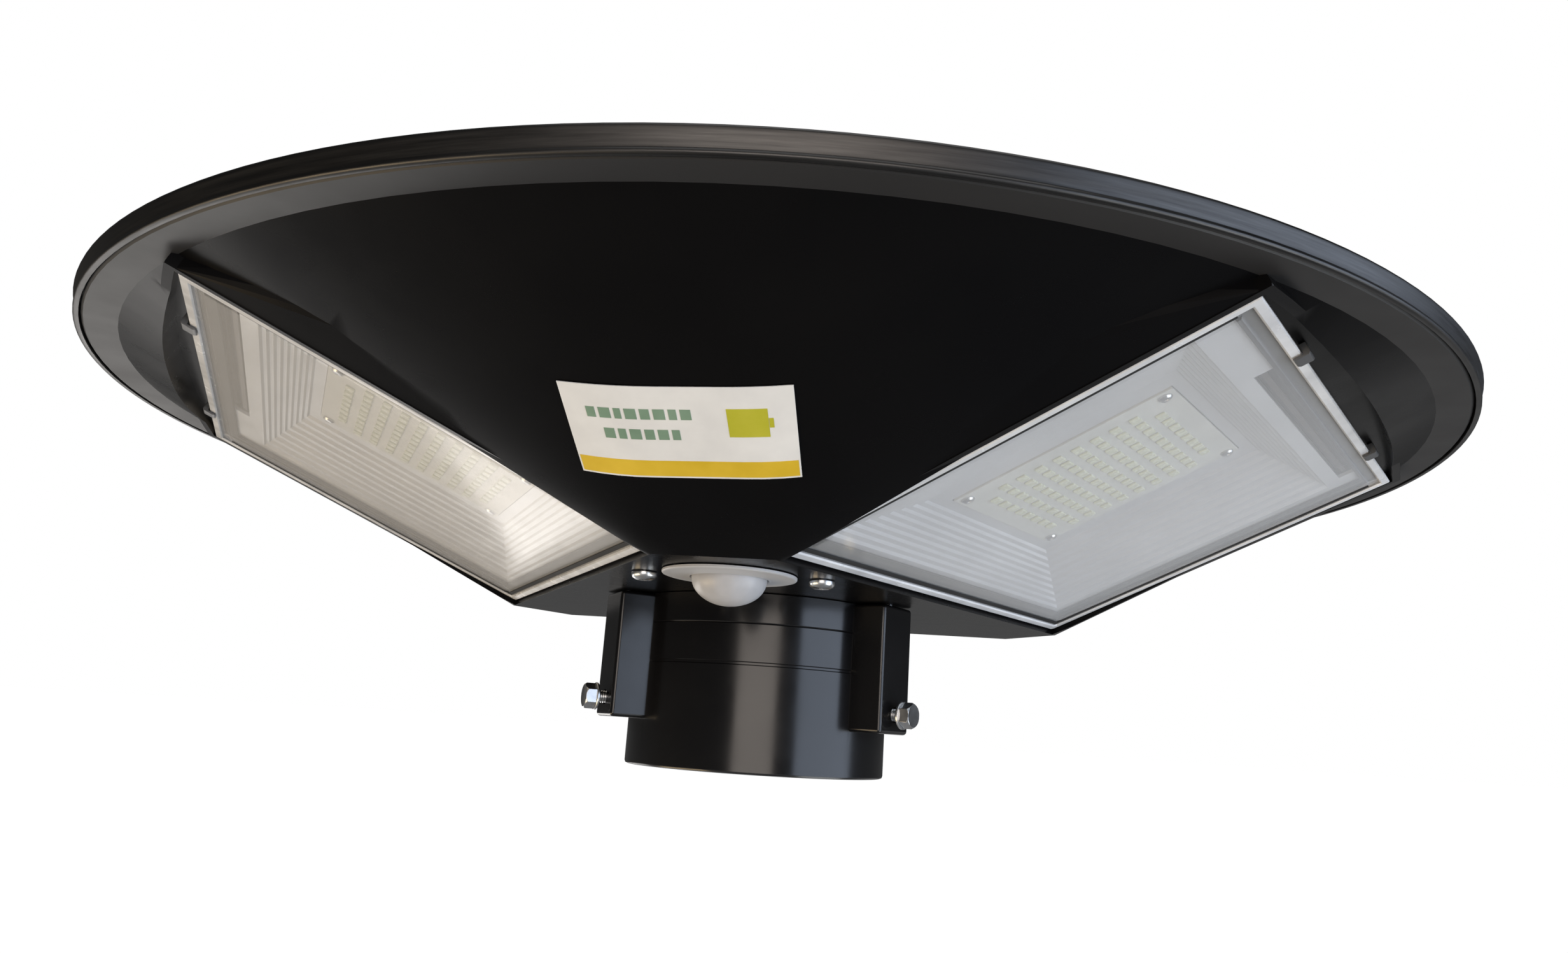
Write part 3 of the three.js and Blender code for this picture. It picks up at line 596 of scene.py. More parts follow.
def pocket_outline(margin):
    """Outline of a module's pocket, this much larger than the cover, with its curved outer end."""
    samples = 16
    half = MODULE_HALF + margin
    end = MODULE_LENGTH + margin
    points = [(-half, -margin), (half, -margin)]
    for i in range(samples + 1):
        t = i / samples
        points.append((half * (1 - 2 * t), end + 2 * CRESCENT * 2 * t * (1 - t)))
    return points


def inset_outline(inset, corner=0.0):
    """The cover's outline, this much smaller at its sides, with cut corners at the hub end if asked."""
    half = MODULE_HALF - inset
    end = MODULE_LENGTH - inset
    if not corner:
        return [(-half, inset), (half, inset), (half, end), (-half, end)]
    return [
        (-half + corner, inset), (half - corner, inset), (half, inset + corner),
        (half, end), (-half, end), (-half, inset + corner),
    ]


def module_flare(place):
    """The slope at both sides of a module's frame that leads up to the dish: widest near its outer end.

    It stops a little short of the frame's faces, because booleans fail on faces that coincide."""
    side = MODULE_HALF + FRAME_MARGIN - 0.6
    start = 0.4
    end = MODULE_LENGTH + FRAME_MARGIN - 1.4
    base = 0.03
    top = FLARE_HEIGHT - 0.2
    widest = 0.8 * FLARE_WIDTH
    samples = 12
    bm = bmesh.new()
    for sign in (-1, 1):
        for y in (start, end):
            bm.verts.new((sign * side, y, base))
        for i in range(samples + 1):
            share = i / samples
            reach = widest * math.sin(math.pi * share ** 1.5)
            bm.verts.new((sign * (side + reach), start + (end - start) * share, top))
    hull = bmesh.ops.convex_hull(bm, input=bm.verts)
    bmesh.ops.delete(bm, geom=hull["geom_interior"], context="VERTS")
    bmesh.ops.recalc_face_normals(bm, faces=bm.faces)
    return moved(bm, place)


def module_wall(place):
    """The frame round a module's pocket and the slopes at its sides.

    Where it lies outside the dish, the frame ends at the plane of the cover's face."""
    frame_low = -12
    wall = moved(prism(pocket_outline(FRAME_MARGIN), frame_low, FRAME_TOP), place)
    past_cover = moved(block(-120, 120, -20, 160, 0, 40), place)
    allowed = combined(dish(-0.05), [("UNION", past_cover)])
    wall = combined(wall, [("INTERSECT", allowed)])
    flare = combined(module_flare(place), [("DIFFERENCE", dish(-WALL / 2))])
    limit = bar(SHOULDER_RADIUS + 2, 0, FLANGE_TOP - 0.05, LARGE_ROUND)
    return combined(wall, [("UNION", flare), ("INTERSECT", limit)])


def shoulder_flange():
    """A disc on top of the dish, which the opening makes into a ring."""
    chamfer = 0.6
    return lathe([
        (0, SHOULDER_Z), (FLANGE_RADIUS - chamfer, SHOULDER_Z), (FLANGE_RADIUS, SHOULDER_Z + chamfer),
        (FLANGE_RADIUS, FLANGE_TOP), (0, FLANGE_TOP),
    ], LARGE_ROUND)


def hub_holes():
    """Radius and place of each round hole through the hub plate."""
    x, y = HUB_SCREW
    holes = [
        (HUB_SCREW_HOLE_RADIUS, -x, y), (HUB_SCREW_HOLE_RADIUS, x, y),
        (SENSOR_NECK_RADIUS + NECK_CLEARANCE, 0, SENSOR_Y),
        (SWITCH_NECK_RADIUS + NECK_CLEARANCE, *SWITCH),
    ]
    for azimuth in MODULE_AZIMUTHS:
        at = outward(azimuth) * SCREW_CIRCLE
        holes.append((SCREW_HOLE_RADIUS, at.x, at.y))
    return holes


def make_housing():
    """One shell: the dish, its shoulder ring and the frames, hollow and open at the top and the modules."""
    ledge = 7  # inside the shoulder circle
    ledge_under_cover = 2.4
    beyond = 30
    opening = bar(SHOULDER_RADIUS - ledge, SHOULDER_Z - 1, FLANGE_TOP + 1, LARGE_ROUND)
    steps = [("UNION", shoulder_flange()), ("DIFFERENCE", dish(-WALL)), ("DIFFERENCE", opening)]
    for azimuth in MODULE_AZIMUTHS:
        steps.append(("UNION", module_wall(module_frame(azimuth))))
    for azimuth in MODULE_AZIMUTHS:
        place = module_frame(azimuth)
        pocket = prism(pocket_outline(COVER_CLEARANCE), -beyond, COVER_THICKNESS + 0.3)
        window = prism(inset_outline(ledge_under_cover), -beyond, beyond)
        steps.append(("DIFFERENCE", moved(pocket, place)))
        steps.append(("DIFFERENCE", moved(window, place)))
    for radius, x, y in hub_holes():
        steps.append(("DIFFERENCE", bar(radius, HUB_Z - 5, HUB_Z + 5, 40, x, y)))
    shell = piece("housing_shell", combined(dish(), steps), housing_look.material,
                  replaces=["lower_housing"], smooth=10)
    paint_shoulder_reflection(shell)


def paint_shoulder_reflection(shell):
    """The ring outside the dish has a duller surface, and a lighter colour that is a painted reflection of
    the bright floor.
    """
    # The second slot holds the lighter copy of the black, a painted reflection.
    shell.data.materials.append(shoulder_reflection_look.material)
    edge = (SHOULDER_RADIUS - 0.1) * MM
    for face in shell.data.polygons:
        if all(shell.data.vertices[i].co.xy.length > edge for i in face.vertices):
            face.material_index = 1


# ---- Rim -------------------------------------------------------------

def make_rim():
    """A band round the panel, rolled at its lower edge and folded over the glass at the top."""
    band = [
        (213.0, 107.4), (213.4, RIM_BOTTOM), (214.0, 107.35), (214.35, 107.65), (214.4, 108.05),
        (214.2, 108.4), (214.15, 108.7), (214.3, 109.2), (214.6, 110.4), (214.85, 111.6),
        (RIM_RADIUS, 112.1), (214.9, 112.55), (214.6, 112.85), (214.1, RIM_TOP),
        (206.2, RIM_TOP), (205.7, 112.85), (205.5, 112.5), (205.7, 112.35), (212.9, 112.3),
    ]
    piece("rim_band", lathe(band, segments=192, closed=True), rim_look.material,
          replaces=["rim_frame"], smooth=50)


# ---- LED modules -----------------------------------------------------

def rectangle(half, low, high, grow=0):
    """Corners of a rectangle on a module, from its half width, low edge and high edge."""
    left = -half - grow
    right = half + grow
    return [(left, low - grow), (right, low - grow), (right, high + grow), (left, high + grow)]


def tray_section(share, grow=0):
    """Outline of the tray's hollow, from its mouth (0) to its floor (1)."""
    half, low, high = (a + (b - a) * share for a, b in zip(TRAY_MOUTH, TRAY_FLOOR))
    return rectangle(half, low, high, grow)


def make_tray(number, place):
    """The tray's flange, its stepped slanted walls and its floor with the board's window."""
    steps = 9
    rise = TRAY_DEPTH - TRAY_FLANGE_Z
    flange_back = TRAY_FLANGE_Z + TRAY_WALL
    floor_back = TRAY_DEPTH + TRAY_WALL
    flange = inset_outline(TRAY_INSET)
    window = rectangle(WINDOW_HALF, BOARD_CENTRE - WINDOW_HALF, BOARD_CENTRE + WINDOW_HALF)
    levels = [(flange, flange_back), (flange, TRAY_FLANGE_Z), (tray_section(0), TRAY_FLANGE_Z)]
    for i in range(steps):
        slant = ((i + 0.72) / steps, (i + 0.25) / steps)
        riser = ((i + 1) / steps, (i + 1) / steps)
        for share_in, share_down in (slant, riser):
            levels.append((tray_section(share_in), TRAY_FLANGE_Z + rise * share_down))
    levels += [(window, TRAY_DEPTH), (window, floor_back)]
    levels += [(tray_section(1, TRAY_WALL), floor_back), (tray_section(0, TRAY_WALL), flange_back)]
    bm = bmesh.new()
    loops = [[bm.verts.new((x, y, z)) for x, y in outline] for outline, z in levels]
    for a, b in zip(loops, loops[1:] + loops[:1]):
        for i in range(4):
            j = (i + 1) % 4
            bm.faces.new((a[i], a[j], b[j], b[i]))
    bmesh.ops.recalc_face_normals(bm, faces=bm.faces)
    notch = block(*TRAY_NOTCH, MODULE_LENGTH, 2, 6)
    piece(f"tray_shell_{number}", combined(bm, [("DIFFERENCE", notch)]), reflector_look.material,
          matrix=place, replaces=[f"reflector_tray_{number}"], smooth=20)


def make_channel(number, place):
    """Cable channel behind the notch at the tray's outer end: two ribs with a foam strip behind them."""
    left, right, low = TRAY_NOTCH
    x0 = left + 1
    x1 = right - 1
    rib_width = 1.5
    rib_z = (4.7, 6.2)
    foam_z = (6.3, 6.9)
    ribs = [softened(block(x0, x1, y, y + rib_width, *rib_z), 0.15) for y in (low + 1.4, low + 4.8)]
    foam = softened(block(x0, x1, low + 0.3, low + 7, *foam_z), 0.2)
    piece(f"channel_ribs_{number}", merged(*ribs), channel_look.material, matrix=place)
    piece(f"channel_foam_{number}", foam, black_look.material, matrix=place)


def make_seal(number, place):
    """A black cord in the cover's groove, along its two long sides and its inner side."""
    outer = 3.0
    inner = 4.5
    end = MODULE_LENGTH - 6
    half = MODULE_HALF
    outline = [
        (-half + outer, end), (-half + outer, outer), (half - outer, outer), (half - outer, end),
        (half - inner, end), (half - inner, inner), (-half + inner, inner), (-half + inner, end),
    ]
    cord = softened(prism(outline, 0.5, 0.95), 0.12)
    piece(f"seal_cord_{number}", cord, rubber_look.material, matrix=place)


def make_board(number, place):
    """The LED board with a screw at each corner."""
    half = BOARD_HALF
    thickness = 1.6
    screw_offset = 30
    plate = block(-half, half, BOARD_CENTRE - half, BOARD_CENTRE + half, BOARD_Z, BOARD_Z + thickness)
    head = [(0, -0.7), (0.5, -0.7), (0.6, -1.0), (1.4, -0.9), (1.9, -0.4), (1.9, 0.2), (0, 0.2)]
    profile = [(radius, BOARD_Z + z) for radius, z in head]
    screws = []
    for x in (-screw_offset, screw_offset):
        for y in (-screw_offset, screw_offset):
            screws.append(moved(lathe(profile, 16), Matrix.Translation((x, BOARD_CENTRE + y, 0))))
    piece(f"board_plate_{number}", softened(plate, 0.25), board_look.material,
          matrix=place, replaces=[f"led_board_{number}"])
    piece(f"board_screws_{number}", merged(*screws), steel_look.material, matrix=place)


def make_leds(number, place):
    """A square grid of LED packages, without those in the corners where the screws are."""
    count = 10
    pitch = 5.7
    half_x = 1.75
    half_y = 1.4
    screw_zone = 25
    front = BOARD_Z - 0.7
    back = BOARD_Z + 0.05
    offsets = [(i - (count - 1) / 2) * pitch for i in range(count)]
    leds = []
    for dy in offsets:
        for x in offsets:
            if abs(x) > screw_zone and abs(dy) > screw_zone:
                continue
            y = BOARD_CENTRE + dy
            package = block(x - half_x, x + half_x, y - half_y, y + half_y, front, back)
            leds.append(softened(package, 0.2, 1))
    piece(f"led_packages_{number}", merged(*leds), led_look.material, matrix=place)


def make_cover(number, place):
    """A clear plate with a raised, frosted rim and a thin clear step inside it.

    Both profiles give the distance in from the cover's edge and the depth."""
    front = [
        (0, COVER_THICKNESS), (0, 0.35), (0.35, 0), (2.2, 0), (2.6, 0.4), (2.8, 1.0), (5.0, 1.0),
        (5.4, 0.8), (5.7, 0.45), (6.4, 0.35),
    ]
    back = [(6.4, 1.5), (5.4, 1.6), (4.8, 1.7), (2.9, 1.7), (2.5, COVER_THICKNESS)]
    last_frosted = 3
    last_front = len(front) - 1
    bm = bmesh.new()
    loops = []
    for inset, z in front + back:
        loops.append([bm.verts.new((x, y, z)) for x, y in inset_outline(inset, COVER_CORNER)])
    bands = [(k, loops[k], loops[k + 1]) for k in range(len(loops) - 1) if k != last_front]
    bands.append((0, loops[-1], loops[0]))
    for k, a, b in bands:
        for i in range(6):
            j = (i + 1) % 6
            face = bm.faces.new((a[i], a[j], b[j], b[i]))
            face.material_index = 1 if k <= last_frosted else 0
    bm.faces.new(loops[last_front])
    bm.faces.new(list(reversed(loops[last_front + 1])))
    bmesh.ops.recalc_face_normals(bm, faces=bm.faces)
    cover = piece(f"cover_lens_{number}", bm, clear_look.material, matrix=place,
                  replaces=[f"led_cover_{number}"], smooth=30)
    cover.data.materials.append(edge_look.material)


def make_clips(number, place):
    """Two small hooks over the cover's outer edge, drawn from the side and then laid across it."""
    end = MODULE_LENGTH + 0.3
    profile = [
        (end - 2.6, -0.3), (end - 2.4, -0.7), (end - 1.8, -1.0), (end + 1.1, -1.0), (end + 1.6, -0.5),
        (end + 1.6, COVER_THICKNESS), (end, COVER_THICKNESS), (end, -0.3),
    ]
    sideways = Matrix(((0, 0, 1, 0), (1, 0, 0, 0), (0, 1, 0, 0), (0, 0, 0, 1)))
    for letter, x in (("a", -CLIP_OFFSET), ("b", CLIP_OFFSET)):
        clip = moved(prism(profile, x - CLIP_HALF_WIDTH, x + CLIP_HALF_WIDTH), sideways)
        piece(f"clip_hook_{number}{letter}", softened(clip, 0.25), clip_look.material,
              matrix=place, replaces=[f"cover_clip_{number}{letter}"])


def make_modules():
    makers = (make_tray, make_channel, make_seal, make_board, make_leds, make_cover, make_clips)
    for number, azimuth in enumerate(MODULE_AZIMUTHS, 1):
        for make in makers:
            make(number, module_frame(azimuth))


# ---- Pole collar and clamp bolts -------------------------------------

def on_bolt_axis(azimuth):
    """Lays a shape made about Z on a clamp bolt's axis, its +Z outward."""
    return turned(azimuth) @ Matrix.Translation((0, 0, BOLT_Z)) @ Matrix.Rotation(math.radians(90), 4, "Y")


def make_collar():
    """A tube with two fine grooves round it and three box-shaped ears, bored for the clamp bolts."""
    outer = COLLAR_RADIUS
    seat_gap = 0.3
    tube = [
        (BORE_RADIUS, 0.6), (BORE_RADIUS + 0.6, 0), (outer - 0.9, 0), (outer - 0.25, 0.25), (outer, 0.9),
        (outer, 32.2), (outer - 0.3, 32.5), (outer - 0.3, 33.1), (outer, 33.4),
        (outer, 44.8), (outer - 0.2, 45.1), (outer, 45.4), (outer, COLLAR_TOP), (BORE_RADIUS, COLLAR_TOP),
    ]
    steps = []
    for azimuth in MODULE_AZIMUTHS:
        ear = block(EAR_ROOT, EAR_RADIUS, -EAR_WIDTH / 2, EAR_WIDTH / 2, EAR_BOTTOM, COLLAR_TOP)
        steps.append(("UNION", moved(softened(ear, 1.2, 4), turned(azimuth))))
    for azimuth in MODULE_AZIMUTHS:
        seat = bar(INSERT_RADIUS + seat_gap, BORE_RADIUS - 5, INSERT_END + seat_gap, 40)
        hole = bar(BOLT_HOLE_RADIUS, BORE_RADIUS, EAR_RADIUS + 1)
        at = outward(azimuth) * SCREW_CIRCLE
        pilot = bar(SCREW_HOLE_RADIUS, COLLAR_TOP - SCREW_HOLE_DEPTH, COLLAR_TOP + 1, 16, at.x, at.y)
        steps.append(("DIFFERENCE", moved(seat, on_bolt_axis(azimuth))))
        steps.append(("DIFFERENCE", moved(hole, on_bolt_axis(azimuth))))
        steps.append(("DIFFERENCE", pilot))
    body = combined(lathe(tube, LARGE_ROUND, closed=True), steps)
    piece("collar_body", body, collar_look.material, replaces=["pole_collar"],
          smooth=28)


def bolt_head(start):
    """A hexagon whose corners are turned off at the outer end."""
    top = start + 3.4
    half_flats = 3.5
    crown_radius = half_flats + 0.65
    hexagon = prism(circle(half_flats / math.cos(math.radians(30)), 6), start, top)
    crown = lathe([
        (0, start - 0.1), (crown_radius, start - 0.1), (crown_radius, top - 0.8),
        (half_flats, top + 0.05), (0, top + 0.05),
    ], 48)
    return softened(combined(hexagon, [("INTERSECT", crown)]), 0.12, angle=25)


def bolt_washer():
    """A ring with softened outer edges."""
    inner = 2.1
    outer = 4.3
    start = WASHER_START
    end = start + 0.76
    return lathe([
        (inner, start), (outer - 0.15, start), (outer, start + 0.13),
        (outer, end - 0.16), (outer - 0.15, end), (inner, end),
    ], 48, closed=True)


def bolt_shank(head_start):
    """The threaded shank, its thread as rings, from the tip up to the head."""
    root = 1.65
    crest = 1.98
    pitch = 0.7
    turns = 23
    profile = [(0, BOLT_TIP), (1.4, BOLT_TIP)]
    for turn in range(turns):
        z = BOLT_TIP + 0.3 + turn * pitch
        profile += [(root, z), (crest, z + 0.3), (crest, z + 0.4), (root, z + pitch)]
    profile += [(root, head_start + 0.2), (0, head_start + 0.2)]
    return lathe(profile, 28)


def make_bolts():
    head_start = 57
    bodies = ("bolt_right", "bolt_back", "bolt_left")
    for number, (azimuth, body) in enumerate(zip(MODULE_AZIMUTHS, bodies), 1):
        bolt = merged(bolt_head(head_start), bolt_washer(), bolt_shank(head_start))
        piece(f"bolt_steel_{number}", bolt, steel_look.material, body=body,
              matrix=on_bolt_axis(azimuth), replaces=[f"clamp_bolt_{number}"])


# ---- Sensor, switch and hub fasteners --------------------------------

def make_sensor():
    """A shallow cone round the dome, with a neck through the hub plate, and the dome itself."""
    at = Matrix.Translation((0, SENSOR_Y, 0))
    inner = LENS_RADIUS + 0.35
    flange = 18.6
    neck_top = 62.6
    bezel = [
        (inner, BEZEL_BOTTOM + 0.3), (inner + 0.25, BEZEL_BOTTOM), (inner + 0.75, BEZEL_BOTTOM + 0.1),
        (flange - 0.7, 53.4), (flange - 0.2, 53.55), (flange, 53.8), (flange, SEAT_Z),
        (SENSOR_NECK_RADIUS, SEAT_Z), (SENSOR_NECK_RADIUS, neck_top), (inner, neck_top),
    ]
    piece("bezel_cone", lathe(bezel, closed=True), bezel_look.material, matrix=at,
          replaces=["sensor_bezel"])
    piece("lens_dome", sensor_dome(), lens_look.material, matrix=at,
          replaces=["sensor_lens"], smooth=12)


def sensor_dome():
    """A half ellipsoid and its short tube, 1 mm thick, with Fresnel panels pressed into the outside."""
    drop = BEZEL_BOTTOM - LENS_BOTTOM
    wall = 1
    top = 60.6
    steps = 12
    outer = []
    inner = []
    for i in range(steps + 1):
        a = math.pi / 2 * i / steps
        outer.append((LENS_RADIUS * math.sin(a), BEZEL_BOTTOM - drop * math.cos(a)))
        inner.append(((LENS_RADIUS - wall) * math.sin(a), BEZEL_BOTTOM - (drop - wall) * math.cos(a)))
    dome = lathe(outer + [(LENS_RADIUS, top), (LENS_RADIUS - wall, top)] + inner[::-1], 72)
    return faceted(dome, drop)


def faceted(dome, drop):
    """Presses a pattern of shallow panels into the outside of the dome, but not round its pole."""
    pole = 2
    depth_of_panels = 0.10
    for vertex in dome.verts:
        radius = math.hypot(vertex.co.x, vertex.co.y)
        depth = BEZEL_BOTTOM - vertex.co.z
        off_surface = abs(math.hypot(radius / LENS_RADIUS, depth / drop) - 1)
        if depth <= 0 or radius < pole or off_surface > 0.02:
            continue
        a = math.atan2(vertex.co.y, vertex.co.x)
        lift = depth_of_panels * abs(math.cos(6 * a))
        vertex.co.x -= lift * math.cos(a)
        vertex.co.y -= lift * math.sin(a)
    return dome


def make_switch():
    """The sleeve that guides the power button, and the button's cap."""
    at = Matrix.Translation((*SWITCH, 0))
    sleeve = [
        (0, 62.0), (5.0, 62.0), (5.0, 52.9), (5.3, 52.6), (8.3, 52.6), (8.9, 52.9), (9, 53.3),
        (9, SEAT_Z), (SWITCH_NECK_RADIUS, SEAT_Z), (SWITCH_NECK_RADIUS, 64.6), (0, 64.6),
    ]
    piece("switch_sleeve", lathe(sleeve, 64), black_look.material, matrix=at,
          replaces=["switch_body"])
    cap = [
        (0, 51.45), (2.6, 51.4), (2.9, 51.2), (4.1, 51.2), (4.6, 51.5), (4.7, 52), (4.7, 59.4), (0, 59.4),
    ]
    piece("button_cap", lathe(cap, 64), button_look.material, body="button",
          matrix=at, replaces=["power_button"])


def make_hub_screws():
    """Pan heads with a cross recess, on the hub plate beside the sensor."""
    x, y = HUB_SCREW
    shank = 1.5
    tip = 66.6
    profile = [
        (0, 52.15), (2.2, 52.25), (3.2, 52.8), (3.6, 53.5), (3.6, SEAT_Z),
        (shank, SEAT_Z), (shank, tip), (0, tip),
    ]
    long_half = 2.1
    thin_half = 0.4
    for number, side in ((1, -1), (2, 1)):
        along = block(-long_half, long_half, -thin_half, thin_half, 51, 53)
        across = block(-thin_half, thin_half, -long_half, long_half, 51, 53)
        screw = combined(lathe(profile, 40), [("DIFFERENCE", along), ("DIFFERENCE", across)])
        piece(f"hub_screw_{number}", screw, steel_look.material,
              matrix=Matrix.Translation((side * x, y, 0)), replaces=[f"bracket_screw_{number}"])


# ---- Label -----------------------------------------------------------

def dish_height(x, y):
    """Height of the dish's outer surface over a point in the front gap."""
    best = -math.inf
    for azimuth in range(-60, 61):
        n = outward(azimuth)
        low = max(corner.dot(n) for corner in hub_corners())
        share = (x * n.x + y * n.y - low) / (SHOULDER_RADIUS - low)
        best = max(best, HUB_Z + (SHOULDER_Z - HUB_Z) * share)
    return best


def label_patch(x0, x1, t0, t1, lift, thickness, nx=12, nt=8):
    """A thin patch on the label, in label units: x in millimetres, t from 0 (lower edge) to 1 (upper).

    It follows the dish with nx by nt facets on each face."""
    slope = math.atan2(SHOULDER_Z - HUB_Z, SHOULDER_RADIUS - HUB_CORNER)
    run = LABEL_HEIGHT * math.cos(slope)
    turn = math.radians(LABEL_TURN)
    bm = bmesh.new()
    sheets = []
    for height in (lift, lift + thickness):
        rows = []
        for j in range(nt + 1):
            v = run * (0.5 - t0 - (t1 - t0) * j / nt)
            row = []
            for i in range(nx + 1):
                u = x0 + (x1 - x0) * i / nx
                x = LABEL_OFFSET + u * math.cos(turn) - v * math.sin(turn)
                y = -LABEL_RADIUS + u * math.sin(turn) + v * math.cos(turn)
                z = dish_height(x, y) - height * math.cos(slope)
                row.append(bm.verts.new((x, y - height * math.sin(slope), z)))
            rows.append(row)
        sheets.append(rows)
    for rows in sheets:
        for a, b in zip(rows, rows[1:]):
            for i in range(nx):
                bm.faces.new((a[i], a[i + 1], b[i + 1], b[i]))
    low, high = sheets
    for i in range(nx):
        for j in (0, nt):
            bm.faces.new((low[j][i], low[j][i + 1], high[j][i + 1], high[j][i]))
    for j in range(nt):
        for i in (0, nx):
            bm.faces.new((low[j][i], low[j + 1][i], high[j + 1][i], high[j][i]))
    bmesh.ops.recalc_face_normals(bm, faces=bm.faces)
    return bm


def printed(x0, x1, t0, t1, nx=12, nt=8):
    """A patch of ink just above the label's sheet."""
    return label_patch(x0, x1, t0, t1, 0.53, 0.05, nx, nt)


def make_label():
    """A sheet with a yellow band, two rows of plain bars and a battery symbol."""
    half = LABEL_WIDTH / 2
    margin = 0.4
    bar_height = 0.11
    bar_gap = 0.8
    sheet = label_patch(-half, half, 0, 1, 0.30, 0.22)
    piece("label_sheet", sheet, label_white.material, replaces=["rating_label"])
    band = printed(margin - half, half - margin, 0.02, 0.2)
    piece("label_band", band, label_yellow.material)
    rows = (
        (0.66, 5, (2.0, 2.6, 1.6, 2.6, 2.2, 2.6, 1.8, 2.4)),
        (0.44, 8, (2.4, 1.8, 2.6, 2.2, 2.4, 1.8)),
    )
    bars = []
    for t, start, widths in rows:
        x = start - half
        for width in widths:
            bars.append(printed(x, x + width, t, t + bar_height, 2, 2))
            x += width + bar_gap
    piece("label_bars", merged(*bars), label_green.material)
    cell = printed(half - 15, half - 6, 0.48, 0.78, 4, 4)
    tip = printed(half - 5.9, half - 4.9, 0.58, 0.68, 1, 1)
    piece("label_battery", merged(cell, tip), label_lime.material)


make_housing()
make_rim()
make_modules()
make_collar()
make_bolts()
make_sensor()
make_switch()
make_hub_screws()
make_label()


# ---- Stage, light and camera -----------------------------------------

# In metres from here on. The floor's light changes with the distance from its middle, with a painted shadow
# of the lamp round its middle.
FLOOR_PLACE = (0.7, 0, -0.85)
FLOOR_LIGHT = 0.5
FLOOR_LIGHT_RISES = (0.9, 2.4)
FLOOR_LIGHT_FALLS = (3.6, 5.6)
FLOOR_LIGHT_LEFT = 0.15
FLOOR_SEEN_IN_PAINTED_SHADOW = 0.75
FLOOR_SEEN_RISES = (0.25, 1.9)
SKY_SEEN = 1.0
SKY_LIGHT = 0.05


def floor_look():
    """Pale and matt: seen, it meets the white background far off and is a little greyer under the lamp; as
    a light it is dark under the lamp. Both are a painted shadow of the lamp in its glow.
    """
    look = Look("floor", Specular_IOR_Level=0.0, Roughness=1.0)
    look.drift_color(3, 3, (0.30, 0.30, 0.30), (0.31, 0.31, 0.31))
    look.shader.inputs["Emission Color"].default_value = (1, 1, 1, 1)
    distance = look.tree.nodes.new("ShaderNodeVectorMath")
    distance.operation = "LENGTH"
    look.link(look.coordinates.outputs["Object"], distance.inputs[0])
    away = distance.outputs["Value"]
    # Painted shadow of the lamp: as a light, the glow is nil near the middle and rises outward.
    lit = look.tree.nodes.new("ShaderNodeMath")
    lit.operation = "MULTIPLY"
    look.link(look.spread(away, 0, FLOOR_LIGHT, *FLOOR_LIGHT_RISES), lit.inputs[0])
    look.link(look.spread(away, 1, FLOOR_LIGHT_LEFT, *FLOOR_LIGHT_FALLS), lit.inputs[1])
    path = look.tree.nodes.new("ShaderNodeLightPath")
    strength = look.tree.nodes.new("ShaderNodeMix")
    look.link(path.outputs["Is Camera Ray"], strength.inputs["Factor"])
    look.link(lit.outputs["Value"], strength.inputs["A"])
    # Seen, the painted shadow is fainter: a little grey near the middle, rising to full white.
    look.link(look.spread(away, FLOOR_SEEN_IN_PAINTED_SHADOW, 1, *FLOOR_SEEN_RISES), strength.inputs["B"])
    look.link(strength.outputs["Result"], look.shader.inputs["Emission Strength"])
    return look


def make_floor():
    """A wide round floor well below the lamp."""
    mesh = bpy.data.meshes.new("floor")
    bm = lathe([(0, 0), (2, 0), (20, 0), (120, 0)])
    bm.to_mesh(mesh)
    bm.free()
    floor = bpy.data.objects.new("floor", mesh)
    floor.location = FLOOR_PLACE
    mesh.materials.append(floor_look().material)
    bpy.context.scene.collection.objects.link(floor)


def make_background():
    """A plain background that looks white and lights softly."""
    world = bpy.data.worlds.new("studio")
    world.use_nodes = True
    tree = world.node_tree
    background = tree.nodes["Background"]
    background.inputs["Color"].default_value = (1, 1, 1, 1)
    path = tree.nodes.new("ShaderNodeLightPath")
    strength = tree.nodes.new("ShaderNodeMapRange")
    strength.inputs["To Min"].default_value = SKY_LIGHT
    strength.inputs["To Max"].default_value = SKY_SEEN
    tree.links.new(path.outputs["Is Camera Ray"], strength.inputs["Value"])
    tree.links.new(strength.outputs["Result"], background.inputs["Strength"])
    bpy.context.scene.world = world


def area_light(name, location, target, size, radiance, color):
    """A soft box of a given surface brightness."""
    data = bpy.data.lights.new(name, "AREA")
    data.shape = "RECTANGLE"
    data.size, data.size_y = size
    data.energy = radiance * math.pi * size[0] * size[1]
    data.color = color
    light = bpy.data.objects.new(name, data)
    light.location = location
    light.rotation_mode = "QUATERNION"
    light.rotation_quaternion = (Vector(target) - Vector(location)).to_track_quat("-Z", "Y")
    light.visible_camera = False
    bpy.context.scene.collection.objects.link(light)


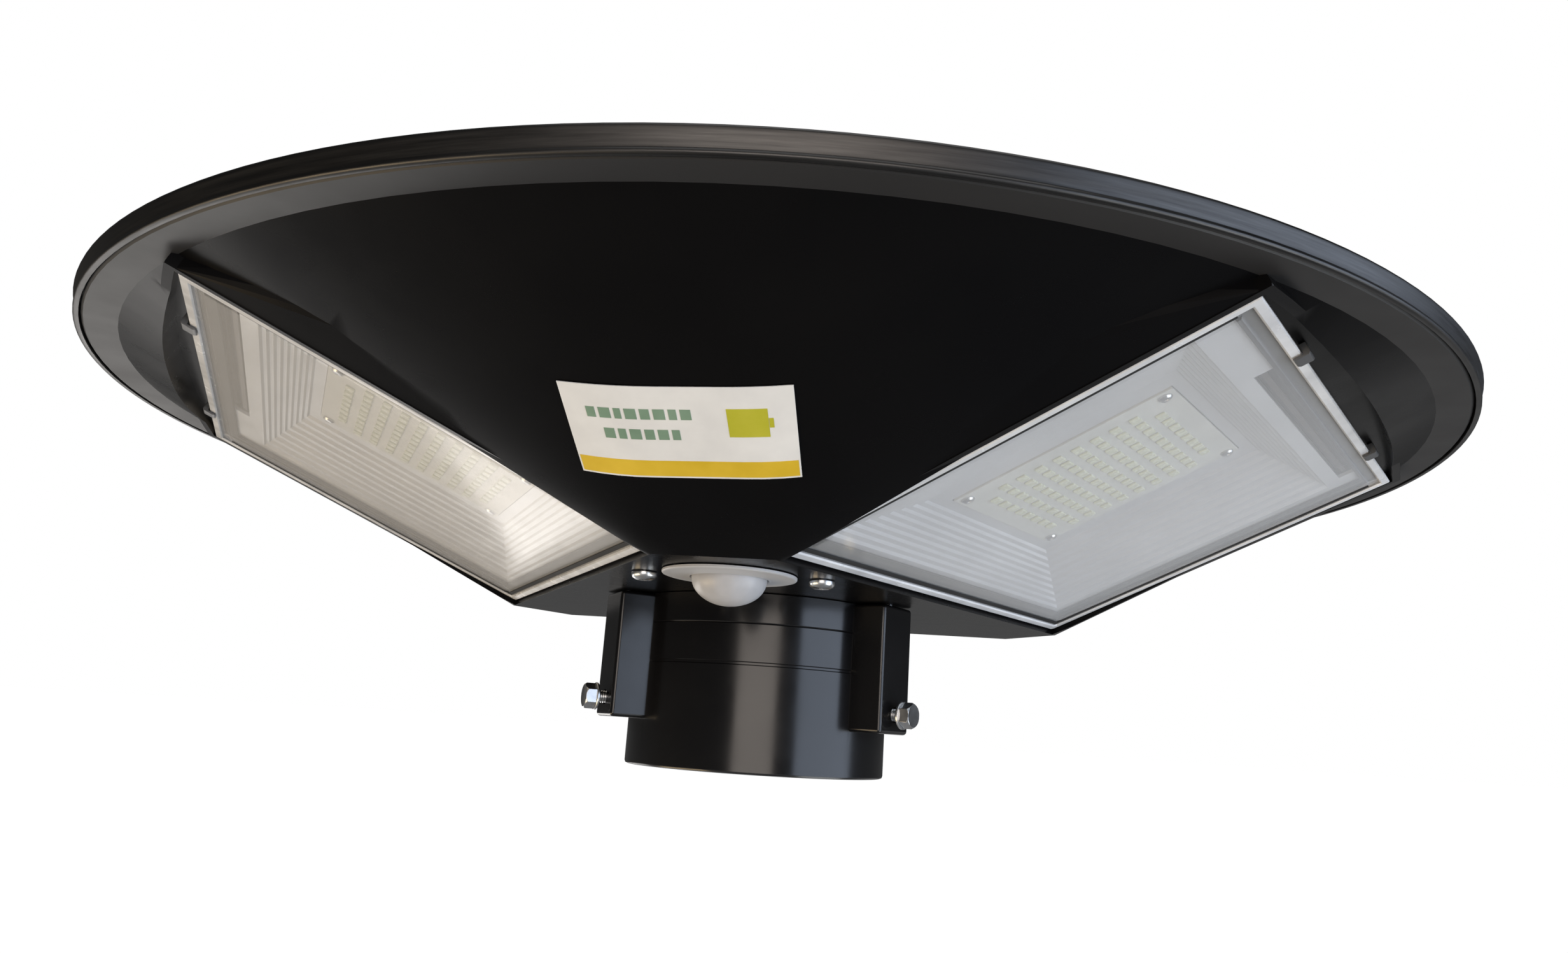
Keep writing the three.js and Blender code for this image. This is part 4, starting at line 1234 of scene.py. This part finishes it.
def make_lights():
    """Soft boxes round the lamp: azimuth, distance, height, size, surface brightness and colour of each."""
    middle = Vector((0, 0, 0.07))
    boxes = [
        ("top", 20, 0.5, 1.7, (1.6, 1.3), 1.6, (1, 1, 1)),
        ("warm_front", 5, 1.4, 0.10, (0.85, 0.9), 3.2, (1, 0.90, 0.82)),
        ("cool_right", 68, 1.2, 0.10, (1.25, 0.8), 3.0, (0.70, 0.81, 1)),
        ("low_left", -125, 1.3, -0.42, (1.2, 0.34), 2.6, (1, 0.96, 0.92)),
        ("low_front_left", -60, 1.0, -0.52, (0.9, 0.4), 4.6, (1, 0.74, 0.42)),
        ("low_front_right", 70, 1.0, -0.52, (0.8, 0.4), 4.4, (0.94, 0.98, 1)),
        ("back", 190, 1.6, 0.9, (1.0, 0.8), 2.6, (0.95, 0.97, 1)),
    ]
    for name, azimuth, distance, height, size, radiance, color in boxes:
        place = outward(azimuth) * distance + Vector((0, 0, height))
        area_light(name, place, middle, size, radiance, color)


def make_camera():
    """The photograph's point of view, found by fitting a pinhole camera to the lamp."""
    yaw = math.radians(0.573)
    pitch = math.radians(12.867)
    roll = math.radians(3.768)
    around = math.radians(7)
    place = (0.0465, -0.379, 0.01444)
    forward = Vector((math.sin(yaw) * math.cos(pitch), math.cos(yaw) * math.cos(pitch), math.sin(pitch)))
    right = Vector((math.cos(yaw), -math.sin(yaw), 0))
    up = right.cross(forward)
    rolled_right = right * math.cos(roll) + up * math.sin(roll)
    rolled_up = up * math.cos(roll) - right * math.sin(roll)
    basis = Matrix((rolled_right, rolled_up, -forward)).transposed()
    data = bpy.data.cameras.new("camera")
    data.sensor_width = 36
    data.sensor_fit = "HORIZONTAL"
    data.lens = 25.1942
    data.clip_start = 0.005
    data.clip_end = 500
    camera = bpy.data.objects.new("camera", data)
    camera.location = place
    camera.rotation_mode = "QUATERNION"
    camera.rotation_quaternion = (Matrix.Rotation(around, 3, "Z") @ basis).to_quaternion()
    bpy.context.scene.collection.objects.link(camera)
    bpy.context.scene.camera = camera


make_floor()
make_background()
make_lights()
make_camera()
bpy.context.scene.view_settings.view_transform = "Standard"
